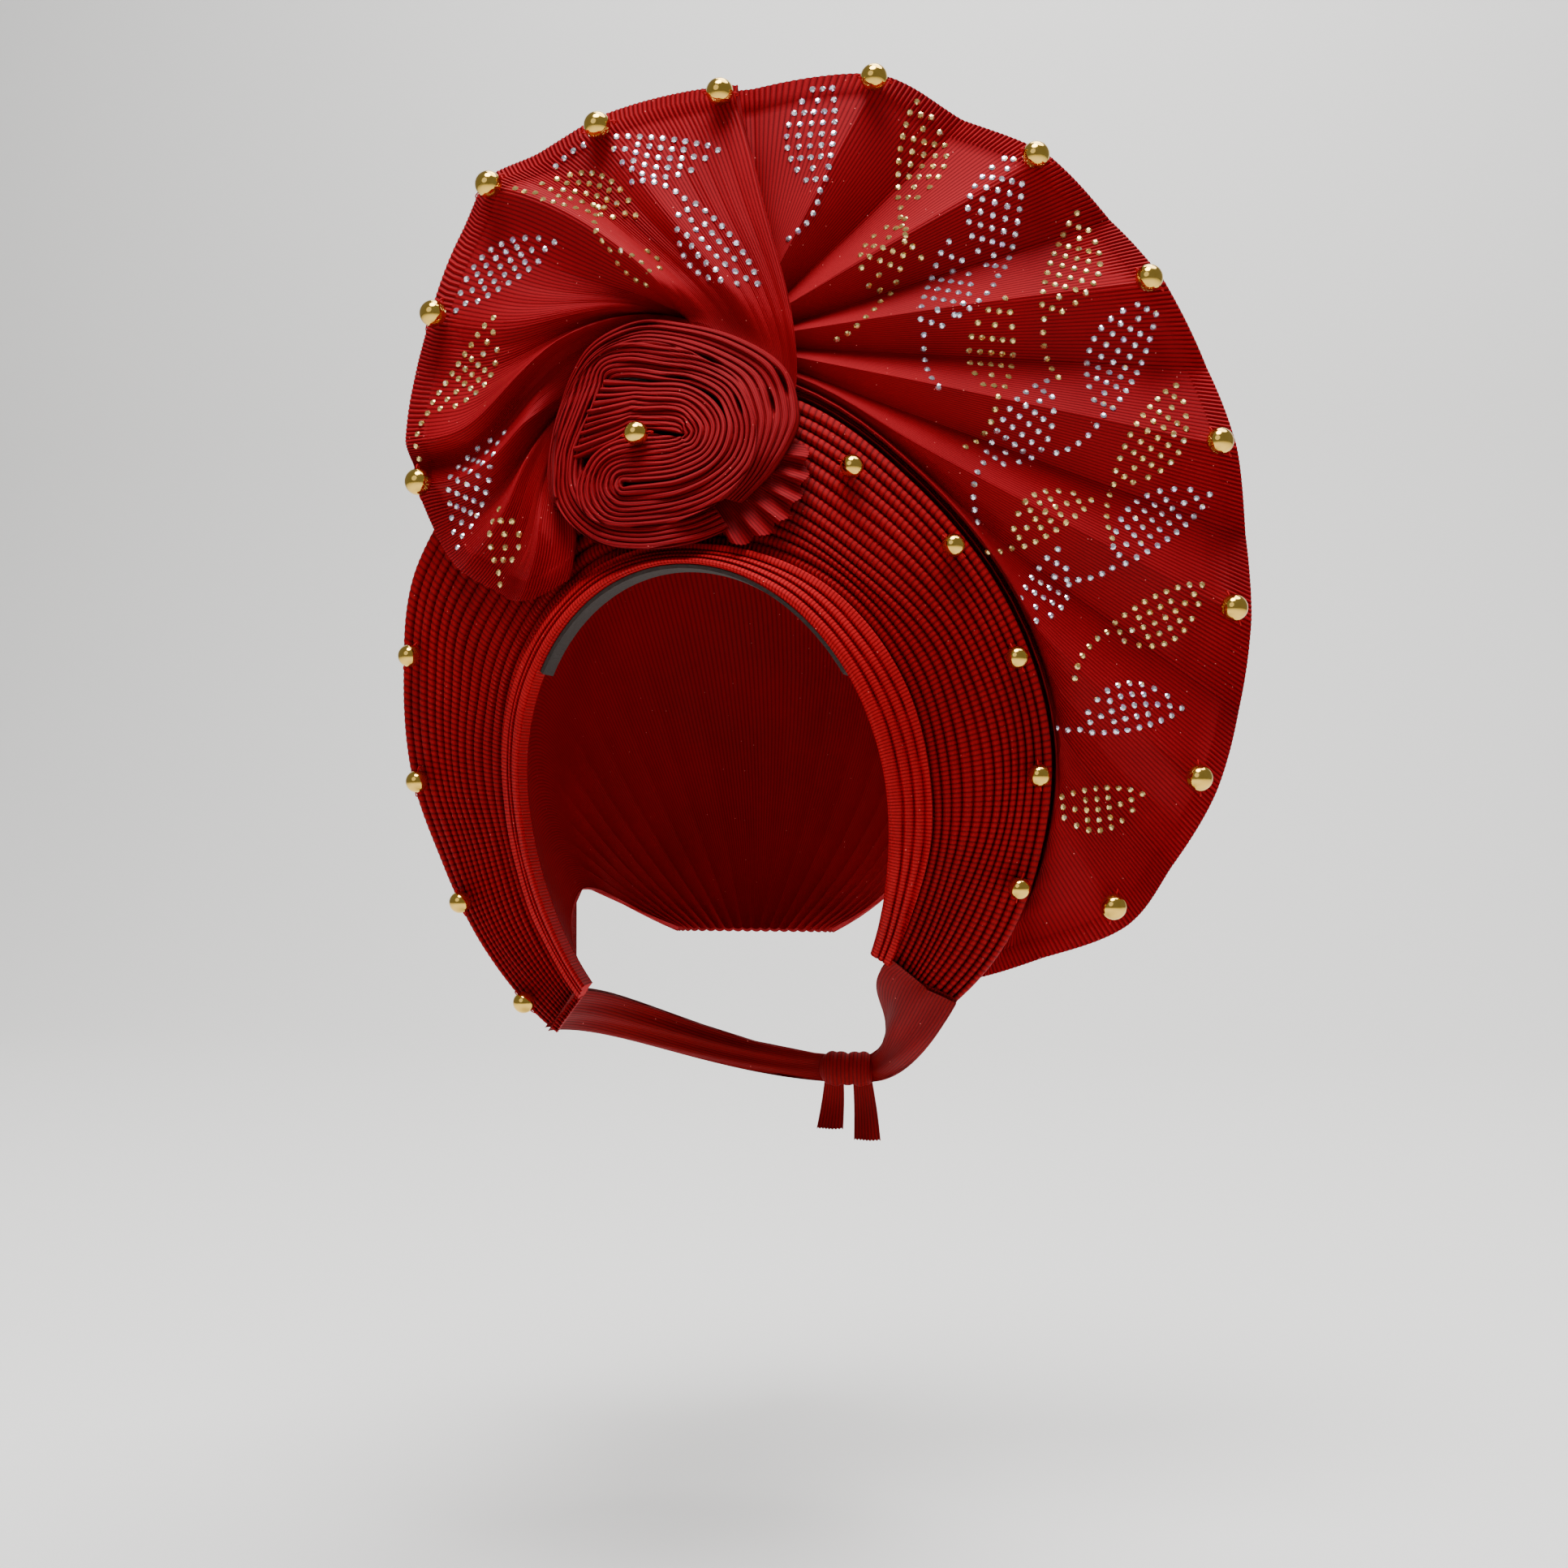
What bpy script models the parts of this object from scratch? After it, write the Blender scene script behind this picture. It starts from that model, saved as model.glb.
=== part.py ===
"""A gele head tie in corded red cloth, pre-tied: a rolled forehead band, a pleated brim round the face, a pleated
fan, a draped fan that swirls into a coiled rosette, a crown cap, nape straps with a knot, and gold beads.

Metres, +Z up. The wearer looks along -Y and +X is the wearer's left. The origin is the centre of the head
opening. An angle round the opening is in degrees, 0 straight up and positive towards +X."""

import math
from collections import namedtuple

import bmesh
import bpy
from mathutils import Vector

# Head opening and the lie of the cloth round it
OPENING_HALF_WIDTH = 0.068
OPENING_RISE = 0.087
OPENING_DROP = 0.105
TEMPLE_SET = -0.030
FACE_LEAN = 0.53
BRIM_FLARE = 0.50
FAN_FLARE = 0.20
SEAM_GAP = 0.0003
REST_GAP = 0.0003
BEAD_GAP = 0.0003

# Pleated brim and rolled band
BRIM_REACH = 0.150
BRIM_WALL = 0.003
BRIM_RISE = 0.007
BRIM_HOLLOW = 0.003
BRIM_PLEAT_DEPTH = 0.003
BRIM_PLEATS = 10
BRIM_STEPS = 26
BAND_WIDTH = 0.015
BAND_HEIGHT = 0.016
BAND_FOLD_DEPTH = 0.0025
BAND_FOLDS = 4

# Pleated fan
FAN_REACH = 0.280
FAN_WALL = 0.0015
FAN_PLEAT_RISE = 0.0065
FAN_BASE = 0.0004
FAN_HUB_X = 0.019
FAN_HUB_Z = 0.168
FAN_HUB_WIDTH = 0.042
FAN_HUG = 0.0035
FAN_STEPS = 11

# Draped fan
DRAPE_REACH = 0.137
DRAPE_WALL = 0.002
DRAPE_FOLD_RISE = 0.012
DRAPE_SWIRL = 2.0
DRAPE_STEPS = 10
DRAPE_FLAT = 0.050
DRAPE_ROOT = 0.024

# Rosette
ROSETTE_X = -0.0076
ROSETTE_Z = 0.1355
ROSETTE_RADIUS = 0.045
ROSETTE_DEPTH = 0.019
ROSETTE_EDGE_FALL = 0.35
ROSETTE_LAYERS = 5
ROSETTE_GROOVE = 0.0025
ROSETTE_SEAT = 0.0011
WRAP_HEIGHT = 0.013
WRAP_LAYERS = 3
WRAP_GAP = 0.0006
FRILL_ROOT = 0.030
FRILL_REACH = 0.054
FRILL_WALL = 0.0018
FRILL_RISE = 0.0045
FRILL_PLEATS = 6

# Crown cap, interlining and nape
CAP_WALL = 0.002
CAP_STEPS = 8
CROWN_HALF_WIDTH = 0.075
CROWN_LENGTH = 0.094
CROWN_HEIGHT = 0.106
CROWN_Y = 0.012
CROWN_Z = 0.016
NAPE_Y = 0.086
NAPE_Z = -0.052
NAPE_HALF_WIDTH = 0.034
INTERLINING_WALL = 0.0013
INTERLINING_DEPTH = 0.020
INTERLINING_STEPS = (9, 18)
STRAP_WALL = 0.002
STRAP_HEIGHT = 0.0035
STRAP_KNOT_WIDTH = 0.014
KNOT_X = 0.041
KNOT_Y = 0.070
KNOT_Z = -0.107
KNOT_RADIUS = 0.0085
KNOT_HALF_LENGTH = 0.012
TAIL_WIDTH = 0.011
TAIL_WALL = 0.0015
TAIL_LENGTH = 0.022

# Beads
FAN_BEAD_RADIUS = 0.005
BRIM_BEAD_RADIUS = 0.0042
BEAD_SIDES = 10
BEAD_RINGS = 5

# Reach of the brim's outer edge, and width of the rolled band, as shares of BRIM_REACH and BAND_WIDTH
BrimRow = namedtuple("BrimRow", "deg reach band")
BRIM_ROWS = (
    BrimRow(-142, 0.740, 0.45),
    BrimRow(-120, 0.725, 0.50),
    BrimRow(-100, 0.737, 0.50),
    BrimRow(-84, 0.795, 0.50),
    BrimRow(-67, 0.872, 0.55),
    BrimRow(-50, 0.985, 0.60),
    BrimRow(-25, 1.050, 0.55),
    BrimRow(0, 1.045, 0.42),
    BrimRow(13, 1.026, 0.55),
    BrimRow(33, 0.947, 0.90),
    BrimRow(57, 0.892, 1.05),
    BrimRow(79, 0.855, 1.00),
    BrimRow(97, 0.819, 0.95),
    BrimRow(116, 0.795, 0.70),
    BrimRow(132, 0.763, 0.50),
)

# Each fold of the pleated fan: where it meets the rim, its reach as a share of FAN_REACH, how far off the brim's
# edge it keeps as a share of FAN_HUG, and its rise as a share of FAN_PLEAT_RISE (ridges +, valleys -)
FanRow = namedtuple("FanRow", "deg reach hug rise")
FAN_ROWS = (
    FanRow(-3, 0.958, 6.0, 0.3),
    FanRow(3, 0.976, 5.6, -0.6),
    FanRow(12.9, 1.005, 5.2, 1.0),
    FanRow(19.7, 0.986, 4.8, -1.0),
    FanRow(27.1, 0.976, 4.4, 1.0),
    FanRow(33.7, 0.951, 4.0, -1.0),
    FanRow(40.4, 0.921, 3.6, 1.0),
    FanRow(47.8, 0.885, 3.2, -1.0),
    FanRow(55.2, 0.844, 2.8, 1.0),
    FanRow(62.2, 0.800, 2.4, -1.0),
    FanRow(70.2, 0.758, 2.0, 1.0),
    FanRow(78.8, 0.714, 1.6, -1.0),
    FanRow(87.9, 0.668, 1.2, 1.0),
    FanRow(97.0, 0.616, 0.85, -1.0),
    FanRow(105.6, 0.572, 0.5, 0.9),
    FanRow(115, 0.480, 0.2, -1.2),
    FanRow(125, 0.404, -1.15, 0.0),
)

# Each fold of the draped fan, round the rosette's centre: where it meets the rim, its reach as a share of
# DRAPE_REACH, where it meets the rosette, and its rise as a share of DRAPE_FOLD_RISE
DrapeRow = namedtuple("DrapeRow", "rim_deg reach root_deg rise")
DRAPE_ROWS = (
    DrapeRow(8, 1.000, 58, 0.45),
    DrapeRow(-4, 0.962, 48, 0.15),
    DrapeRow(-15.5, 0.938, 38, 0.50),
    DrapeRow(-27, 0.922, 28, 0.30),
    DrapeRow(-37, 0.932, 18, 1.00),
    DrapeRow(-47, 0.885, 6, 0.05),
    DrapeRow(-62, 0.820, -5, 0.60),
    DrapeRow(-80, 0.798, -12, 0.15),
    DrapeRow(-97.5, 0.758, -20, 0.90),
    DrapeRow(-108, 0.735, -50, 0.20),
    DrapeRow(-119, 0.690, -75, 0.70),
    DrapeRow(-129, 0.630, -82, 0.15),
    DrapeRow(-137, 0.590, -95, 0.60),
    DrapeRow(-146, 0.460, -125, 0.10),
)

# Sections of the coiled stack from its cut end, round both eyes and then round itself: its left and right edge,
# seen from in front as one follows it, from the rosette's centre, as shares of ROSETTE_RADIUS
CoilRow = namedtuple("CoilRow", "left_x left_z right_x right_z")
COIL_ROWS = (
    CoilRow(-0.531, 0.433, -0.740, -0.207),
    CoilRow(-0.344, 0.400, -0.411, -0.102),
    CoilRow(-0.153, 0.369, -0.167, 0.009),
    CoilRow(0.140, 0.340, 0.122, -0.036),
    CoilRow(0.369, 0.196, 0.169, -0.047),
    CoilRow(0.480, -0.022, 0.191, -0.073),
    CoilRow(0.400, -0.267, 0.176, -0.109),
    CoilRow(0.140, -0.407, 0.129, -0.111),
    CoilRow(-0.153, -0.433, -0.167, -0.080),
    CoilRow(-0.280, -0.429, -0.456, -0.196),
    CoilRow(-0.300, -0.460, -0.629, -0.431),
    CoilRow(-0.284, -0.489, -0.524, -0.662),
    CoilRow(-0.233, -0.498, -0.256, -0.747),
    CoilRow(0.000, -0.487, 0.033, -0.747),
    CoilRow(0.176, -0.456, 0.233, -0.689),
    CoilRow(0.367, -0.360, 0.456, -0.556),
    CoilRow(0.484, -0.227, 0.627, -0.322),
    CoilRow(0.529, -0.053, 0.684, -0.044),
    CoilRow(0.502, 0.089, 0.649, 0.156),
    CoilRow(0.400, 0.267, 0.516, 0.400),
    CoilRow(0.178, 0.382, 0.267, 0.556),
    CoilRow(-0.089, 0.422, -0.044, 0.689),
    CoilRow(-0.344, 0.489, -0.333, 0.724),
    CoilRow(-0.531, 0.502, -0.600, 0.636),
    CoilRow(-0.600, 0.378, -0.767, 0.444),
    CoilRow(-0.656, 0.178, -0.880, 0.178),
    CoilRow(-0.738, -0.044, -0.924, -0.089),
    CoilRow(-0.773, -0.227, -0.911, -0.311),
    CoilRow(-0.751, -0.467, -0.867, -0.533),
    CoilRow(-0.604, -0.676, -0.702, -0.742),
    CoilRow(-0.367, -0.813, -0.422, -0.911),
    CoilRow(-0.044, -0.849, -0.044, -0.960),
    CoilRow(0.222, -0.796, 0.256, -0.922),
    CoilRow(0.444, -0.680, 0.522, -0.789),
)

# Outer edge of the layers that hug the coil, beside the coil's sections, as shares of ROSETTE_RADIUS
WrapRow = namedtuple("WrapRow", "section x z")
WRAP_ROWS = (
    WrapRow(15, 0.600, -0.589),
    WrapRow(16, 0.822, -0.333),
    WrapRow(17, 0.956, -0.067),
    WrapRow(18, 0.996, 0.178),
    WrapRow(19, 0.867, 0.556),
    WrapRow(20, 0.489, 0.800),
    WrapRow(21, 0.044, 0.922),
    WrapRow(22, -0.311, 0.956),
    WrapRow(23, -0.689, 0.800),
    WrapRow(24, -0.889, 0.533),
    WrapRow(25, -0.989, 0.200),
    WrapRow(26, -1.022, -0.111),
    WrapRow(27, -1.011, -0.356),
    WrapRow(28, -0.933, -0.600),
)

# Reach of the frill's raw edge round the rosette, as a share of FRILL_REACH
FrillRow = namedtuple("FrillRow", "deg reach")
FRILL_ROWS = (
    FrillRow(94, 0.870),
    FrillRow(106, 0.930),
    FrillRow(120, 0.960),
    FrillRow(134, 0.960),
    FrillRow(150, 0.900),
)

# Beads of the brim: angle, and which pleat from the outer edge inwards carries it
BRIM_BEADS = ((24.0, 3), (43.0, 2), (63.0, 2), (83.0, 2), (103.4, 2), (-62.2, 2), (-83.6, 2), (-108.6, 2), (-133.0, 2))
FAN_BEAD_SHARE = 0.955
DRAPE_BEAD_ROWS = (0.2, 2, 4, 6, 8)
DRAPE_BEAD_SHARE = 0.94
ROSETTE_BEAD_SECTION = 8

# How a nape strap leaves the brim's end and reaches the knot, as offsets of its curve's two middle handles
StrapRow = namedtuple("StrapRow", "side away back in_x in_y in_z")
STRAP_ROWS = (
    StrapRow(1, 0.022, 0.012, 0.016, -0.012, 0.004),
    StrapRow(-1, 0.006, 0.075, -0.050, 0.004, 0.002),
)

CLOTH_RED = (0.36, 0.008, 0.012, 1.0)
BAND_RED = (0.45, 0.012, 0.014, 1.0)
GOLD = (0.85, 0.62, 0.22, 1.0)
INTERLINING_GREY = (0.33, 0.30, 0.27, 1.0)


def clear_scene():
    for thing in list(bpy.data.objects):
        bpy.data.objects.remove(thing)


def material(name, colour, roughness, metallic=0.0):
    made = bpy.data.materials.get(name) or bpy.data.materials.new(name)
    made.use_nodes = True
    shader = made.node_tree.nodes["Principled BSDF"]
    shader.inputs["Base Color"].default_value = colour
    shader.inputs["Roughness"].default_value = roughness
    shader.inputs["Metallic"].default_value = metallic
    return made


def hermite(p0, p1, m0, m1, t):
    """Cubic between two values with the given slopes, t from 0 to 1."""
    t2, t3 = t * t, t * t * t
    return (2 * t3 - 3 * t2 + 1) * p0 + (t3 - 2 * t2 + t) * m0 + (3 * t2 - 2 * t3) * p1 + (t3 - t2) * m1


def table_value(rows, key, column, at):
    """A column of a table, read smoothly at a value of its key column."""
    keys = [getattr(row, key) for row in rows]
    values = [getattr(row, column) for row in rows]
    at = min(max(at, keys[0]), keys[-1])
    i = max(k for k in range(len(rows) - 1) if keys[k] <= at or k == 0)
    span = keys[i + 1] - keys[i]

    def slope(k):
        low, high = max(k - 1, 0), min(k + 1, len(rows) - 1)
        return (values[high] - values[low]) / (keys[high] - keys[low])

    return hermite(values[i], values[i + 1], slope(i) * span, slope(i + 1) * span, (at - keys[i]) / span)


def fold_value(rows, column, place):
    """A column of a table of folds, read smoothly at a place counted in folds from the first."""
    values = [getattr(row, column) for row in rows]
    i = min(int(place), len(rows) - 2)
    low, high = values[max(i - 1, 0)], values[min(i + 2, len(rows) - 1)]
    m0 = (values[i + 1] - low) / (2 if i else 1)
    m1 = (high - values[i]) / (2 if i + 2 < len(rows) else 1)
    return hermite(values[i], values[i + 1], m0, m1, place - i)


def fold_line(rows, column, place):
    """The same, but straight between folds, for creases."""
    i = min(int(place), len(rows) - 2)
    a, b = getattr(rows[i], column), getattr(rows[i + 1], column)
    return a + (b - a) * (place - i)


def round_point(deg, radius, x=0.0, z=0.0):
    """(x, z) at an angle and a distance round a centre."""
    a = math.radians(deg)
    return x + radius * math.sin(a), z + radius * math.cos(a)


def opening_radius(deg):
    a = math.radians(deg)
    rise = OPENING_RISE if math.cos(a) > 0 else OPENING_DROP
    return 1 / math.hypot(math.sin(a) / OPENING_HALF_WIDTH, math.cos(a) / rise)


def brim_radius(deg):
    return BRIM_REACH * table_value(BRIM_ROWS, "deg", "reach", deg)


def band_width(deg):
    return BAND_WIDTH * table_value(BRIM_ROWS, "deg", "band", deg)


def backing_y(x, z):
    """How far back the cloth lies at (x, z): it flares back from the opening's leaning edge."""
    deg = math.degrees(math.atan2(x, z))
    r, inner, outer = math.hypot(x, z), opening_radius(deg), brim_radius(deg)
    edge = TEMPLE_SET - FACE_LEAN * inner * math.cos(math.radians(deg))
    return edge + BRIM_FLARE * (min(r, outer) - inner) + FAN_FLARE * max(r - outer, 0.0)


def lay(x, z, height):
    """The point that stands a height in front of the cloth's backing at (x, z)."""
    return Vector((x, backing_y(x, z) - height, z))


def outward(x, z):
    """Unit vector that points forwards out of the backing at (x, z)."""
    step = 0.001
    slope_x = (backing_y(x + step, z) - backing_y(x - step, z)) / (2 * step)
    slope_z = (backing_y(x, z + step) - backing_y(x, z - step)) / (2 * step)
    return Vector((slope_x, -1.0, slope_z)).normalized()


def zigzag(place):
    """0 at whole numbers and 1 half way between them."""
    return 1 - abs(2 * (place - math.floor(place)) - 1)


def add_object(name, mesh_edit, look, smooth_deg=None):
    """Turns a finished bmesh into a named object with one material."""
    mesh = bpy.data.meshes.new(name)
    mesh_edit.to_mesh(mesh)
    mesh_edit.free()
    mesh.materials.append(look)
    thing = bpy.data.objects.new(name, mesh)
    bpy.context.scene.collection.objects.link(thing)
    if smooth_deg is not None:
        mesh.shade_smooth()
        mesh.set_sharp_from_angle(angle=math.radians(smooth_deg))
    return thing


def closed_sheet(name, columns, rows, front, back, look, weld=0.0):
    """A closed wall of cloth: a grid shaped by front(u, v), extruded to back(u, v)."""
    edit = bmesh.new()
    bmesh.ops.create_grid(edit, x_segments=columns, y_segments=rows, size=0.5)
    share = edit.verts.layers.float_vector.new("share")
    for vert in edit.verts:
        vert[share] = (vert.co.x + 0.5, vert.co.y + 0.5, 0.0)
    first = set(edit.verts)
    bmesh.ops.extrude_face_region(edit, geom=edit.faces[:], use_keep_orig=True)
    for vert in edit.verts:
        u, v = vert[share][0], vert[share][1]
        vert.co = front(u, v) if vert in first else back(u, v)
    if weld:
        bmesh.ops.remove_doubles(edit, verts=edit.verts[:], dist=weld)
    edit.normal_update()
    bmesh.ops.recalc_face_normals(edit, faces=edit.faces[:])
    edit.verts.layers.float_vector.remove(share)
    return add_object(name, edit, look, smooth_deg=35)


def brim_deg(u):
    return BRIM_ROWS[0].deg + (BRIM_ROWS[-1].deg - BRIM_ROWS[0].deg) * u


def brim_height(v):
    """Height of the pleated brim's front: a zigzag that climbs to BRIM_RISE at the outer pleat."""
    climb = BRIM_HOLLOW + (BRIM_RISE - BRIM_HOLLOW) * min(v * 1.25, 1.0)
    return climb - BRIM_PLEAT_DEPTH * (1 - zigzag(v * BRIM_PLEATS))


def make_brim(look):
    def at(u, v, depth):
        deg = brim_deg(u)
        inner = opening_radius(deg) + band_width(deg) + SEAM_GAP
        x, z = round_point(deg, inner + (brim_radius(deg) - inner) * v)
        return lay(x, z, brim_height(v) - depth)

    closed_sheet(
        "pleated_brim",
        BRIM_STEPS,
        2 * BRIM_PLEATS,
        lambda u, v: at(u, v, 0.0),
        lambda u, v: at(u, v, BRIM_WALL),
        look,
    )


def make_band(look):
    """The rolled folds that frame the face, highest next to the skin, with a flat back."""

    def front(u, v):
        deg = brim_deg(u)
        crown = 1 - 0.45 * v
        height = BAND_HEIGHT * crown - BAND_FOLD_DEPTH * (1 - zigzag(v * BAND_FOLDS))
        x, z = round_point(deg, opening_radius(deg) + band_width(deg) * v)
        return lay(x, z, height)

    def back(u, v):
        deg = brim_deg(u)
        x, z = round_point(deg, opening_radius(deg) + band_width(deg) * v)
        return lay(x, z, 0.0)

    closed_sheet("forehead_band", BRIM_STEPS, 2 * BAND_FOLDS, front, back, look)


def fan_spot(place, v):
    """(x, z) of the pleated fan at a fold and a share of the way from its hub to its rim: straight, but round the
    brim's edge where the straight line would cross it."""
    rim_deg = fold_value(FAN_ROWS, "deg", place)
    hug = FAN_HUG * fold_value(FAN_ROWS, "hug", place)
    rim_x, rim_z = round_point(rim_deg, FAN_REACH * fold_value(FAN_ROWS, "reach", place))
    hub_z = FAN_HUB_Z + FAN_HUB_WIDTH * (0.5 - place / (len(FAN_ROWS) - 1))
    x = FAN_HUB_X + (rim_x - FAN_HUB_X) * v
    z = hub_z + (rim_z - hub_z) * v
    deg = math.degrees(math.atan2(x, z))
    hug_here = hug * (1 - v**6)
    over = math.hypot(x, z) - brim_radius(deg) - hug_here
    soft = 0.004 * (1 - v**6)
    beyond = hug_here + (over + math.hypot(over, soft)) / 2
    if v == 1.0:
        beyond = math.hypot(x, z) - brim_radius(deg)
    return round_point(deg, brim_radius(deg) + beyond)


def fan_swell(v):
    """Share of the pleats' full rise: tight at the hub, deepest half way, softer at the rim."""
    return 0.40 + 0.60 * math.sin(math.pi * min(v / 1.35, 1.0))


def fan_point(place, v, depth=0.0):
    x, z = fan_spot(place, v)
    rise = FAN_PLEAT_RISE * fold_line(FAN_ROWS, "rise", place) * fan_swell(v)
    return lay(x, z, FAN_BASE + rise - depth)


def make_fan(look):
    folds = len(FAN_ROWS) - 1

    def at(u, v, depth):
        return fan_point(u * folds, v, depth)

    closed_sheet(
        "pleated_fan",
        2 * folds,
        FAN_STEPS,
        lambda u, v: at(u, v, 0.0),
        lambda u, v: at(u, v, FAN_WALL),
        look,
    )


def drape_height():
    """Height of the draped fan's front where it lies flat on the brim's pleats."""
    return BRIM_RISE + REST_GAP + DRAPE_WALL


def drape_point(place, v, depth=0.0):
    rim_deg = fold_value(DRAPE_ROWS, "rim_deg", place)
    root_deg = fold_value(DRAPE_ROWS, "root_deg", place)
    rim = DRAPE_REACH * fold_value(DRAPE_ROWS, "reach", place)
    deg = rim_deg + (root_deg - rim_deg) * (1 - v) ** DRAPE_SWIRL
    reach = DRAPE_ROOT + (rim - DRAPE_ROOT) * v
    x, z = round_point(deg, reach, ROSETTE_X, ROSETTE_Z)
    rise = DRAPE_FOLD_RISE * fold_value(DRAPE_ROWS, "rise", place)
    clear = min(max((reach - DRAPE_FLAT) / 0.025, 0.0), 1.0)
    rise *= clear * (1 - 0.35 * v)
    return lay(x, z, drape_height() + max(rise, 0.0) - depth)


def make_drape(look):
    folds = len(DRAPE_ROWS) - 1
    closed_sheet(
        "draped_fan",
        2 * folds,
        DRAPE_STEPS,
        lambda u, v: drape_point(u * folds, v),
        lambda u, v: drape_point(u * folds, v, DRAPE_WALL),
        look,
    )


def rosette_top(a, b):
    """Height of the rosette's front above its base: it domes, and falls towards its edge."""
    return ROSETTE_DEPTH * (1 - ROSETTE_EDGE_FALL * min((a * a + b * b) / ROSETTE_RADIUS**2, 1.3))


def rosette_base():
    return drape_height() + ROSETTE_SEAT


def coil_spot(i, v):
    """Place on the coiled stack, at a section and a share across its layers."""
    row = COIL_ROWS[i]
    a = row.left_x + (row.right_x - row.left_x) * v
    b = row.left_z + (row.right_z - row.left_z) * v
    return a * ROSETTE_RADIUS, b * ROSETTE_RADIUS


def coil_front(i, v):
    a, b = coil_spot(i, v)
    groove = ROSETTE_GROOVE * (1 - zigzag(v * ROSETTE_LAYERS))
    return lay(ROSETTE_X + a, ROSETTE_Z + b, rosette_base() + rosette_top(a, b) - groove)


def make_rosette(look):
    """The coiled pleat stack: one band of layers on edge that turns round two eyes and then round itself."""
    last = len(COIL_ROWS) - 1

    def back(u, v):
        a, b = coil_spot(round(u * last), v)
        return lay(ROSETTE_X + a, ROSETTE_Z + b, rosette_base())

    closed_sheet(
        "rosette_coil",
        last,
        2 * ROSETTE_LAYERS,
        lambda u, v: coil_front(round(u * last), v),
        back,
        look,
    )


def make_wrap(look):
    """The outer layers that hug the coil over its top, widest there."""
    last = len(WRAP_ROWS) - 1

    def spot(u, v):
        row = WRAP_ROWS[round(u * last)]
        inner = Vector(coil_spot(row.section, 1.0))
        outer = Vector((row.x, row.z)) * ROSETTE_RADIUS
        inner += (outer - inner).normalized() * WRAP_GAP
        return inner.lerp(outer, v)

    def front(u, v):
        a, b = spot(u, v)
        height = WRAP_HEIGHT * (1 - 0.5 * v) - ROSETTE_GROOVE * (1 - zigzag(v * WRAP_LAYERS))
        return lay(ROSETTE_X + a, ROSETTE_Z + b, rosette_base() + height)

    def back(u, v):
        a, b = spot(u, v)
        return lay(ROSETTE_X + a, ROSETTE_Z + b, rosette_base())

    closed_sheet("rosette_wrap", last, 2 * WRAP_LAYERS, front, back, look)


def make_frill(look):
    """The pleated raw end of the stack, which fans out from under the coil."""
    start, end = FRILL_ROWS[0].deg, FRILL_ROWS[-1].deg

    def at(u, v, depth):
        deg = start + (end - start) * u
        inner = FRILL_ROOT
        reach = FRILL_REACH * table_value(FRILL_ROWS, "deg", "reach", deg)
        x, z = round_point(deg, inner + (reach - inner) * v, ROSETTE_X, ROSETTE_Z)
        rise = FRILL_RISE * zigzag(u * FRILL_PLEATS) * max((v - 0.65) / 0.35, 0.0)
        return lay(x, z, BRIM_RISE + REST_GAP + FRILL_WALL + rise - depth)

    closed_sheet(
        "rosette_frill",
        2 * FRILL_PLEATS,
        4,
        lambda u, v: at(u, v, 0.0),
        lambda u, v: at(u, v, FRILL_WALL),
        look,
    )


def cap_point(u, v, wall):
    """The crown cap's skin, from the band's back (v 0) over the head to the nape (v 1)."""
    deg = brim_deg(u)
    a = math.radians(deg)
    x, z = round_point(deg, opening_radius(deg) + CAP_WALL)
    start = lay(x, z, -SEAM_GAP)
    end = Vector((NAPE_HALF_WIDTH * math.sin(a * 0.6), NAPE_Y, NAPE_Z))
    middle = Vector((0.0, CROWN_Y, CROWN_Z))
    first, last = start - middle, end - middle
    over = Vector((math.sin(a * 0.75), 0.35, math.cos(a * 0.75)))
    way = first.normalized() * (1 - v) ** 2 + over * 2 * v * (1 - v) + last.normalized() * v * v
    way.normalize()
    dome = 1 / Vector((way.x / CROWN_HALF_WIDTH, way.y / CROWN_LENGTH, way.z / CROWN_HEIGHT)).length
    near, far = (1 - v) ** 3, v**3
    reach = first.length * near + last.length * far + dome * (1 - near - far)
    inward = Vector((math.sin(a), 0.0, math.cos(a))) if v == 0.0 else way
    return middle + way * reach - inward * wall


def make_cap(look):
    closed_sheet(
        "crown_cap",
        BRIM_STEPS,
        CAP_STEPS,
        lambda u, v: cap_point(u, v, 0.0),
        lambda u, v: cap_point(u, v, CAP_WALL),
        look,
    )


def make_interlining(look):
    """The stiff strip inside the forehead band, whose edge shows under the roll."""
    first, last = INTERLINING_STEPS

    def at(u, v, inset):
        deg = brim_deg((first + (last - first) * u) / BRIM_STEPS)
        x, z = round_point(deg, opening_radius(deg))
        low = lay(x, z, BAND_HEIGHT * 0.55)
        inner = round_point(deg, opening_radius(deg) - SEAM_GAP - inset)
        return Vector((inner[0], low.y + INTERLINING_DEPTH * v, inner[1]))

    closed_sheet(
        "interlining_strip",
        last - first,
        2,
        lambda u, v: at(u, v, 0.0),
        lambda u, v: at(u, v, INTERLINING_WALL),
        look,
    )


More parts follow.
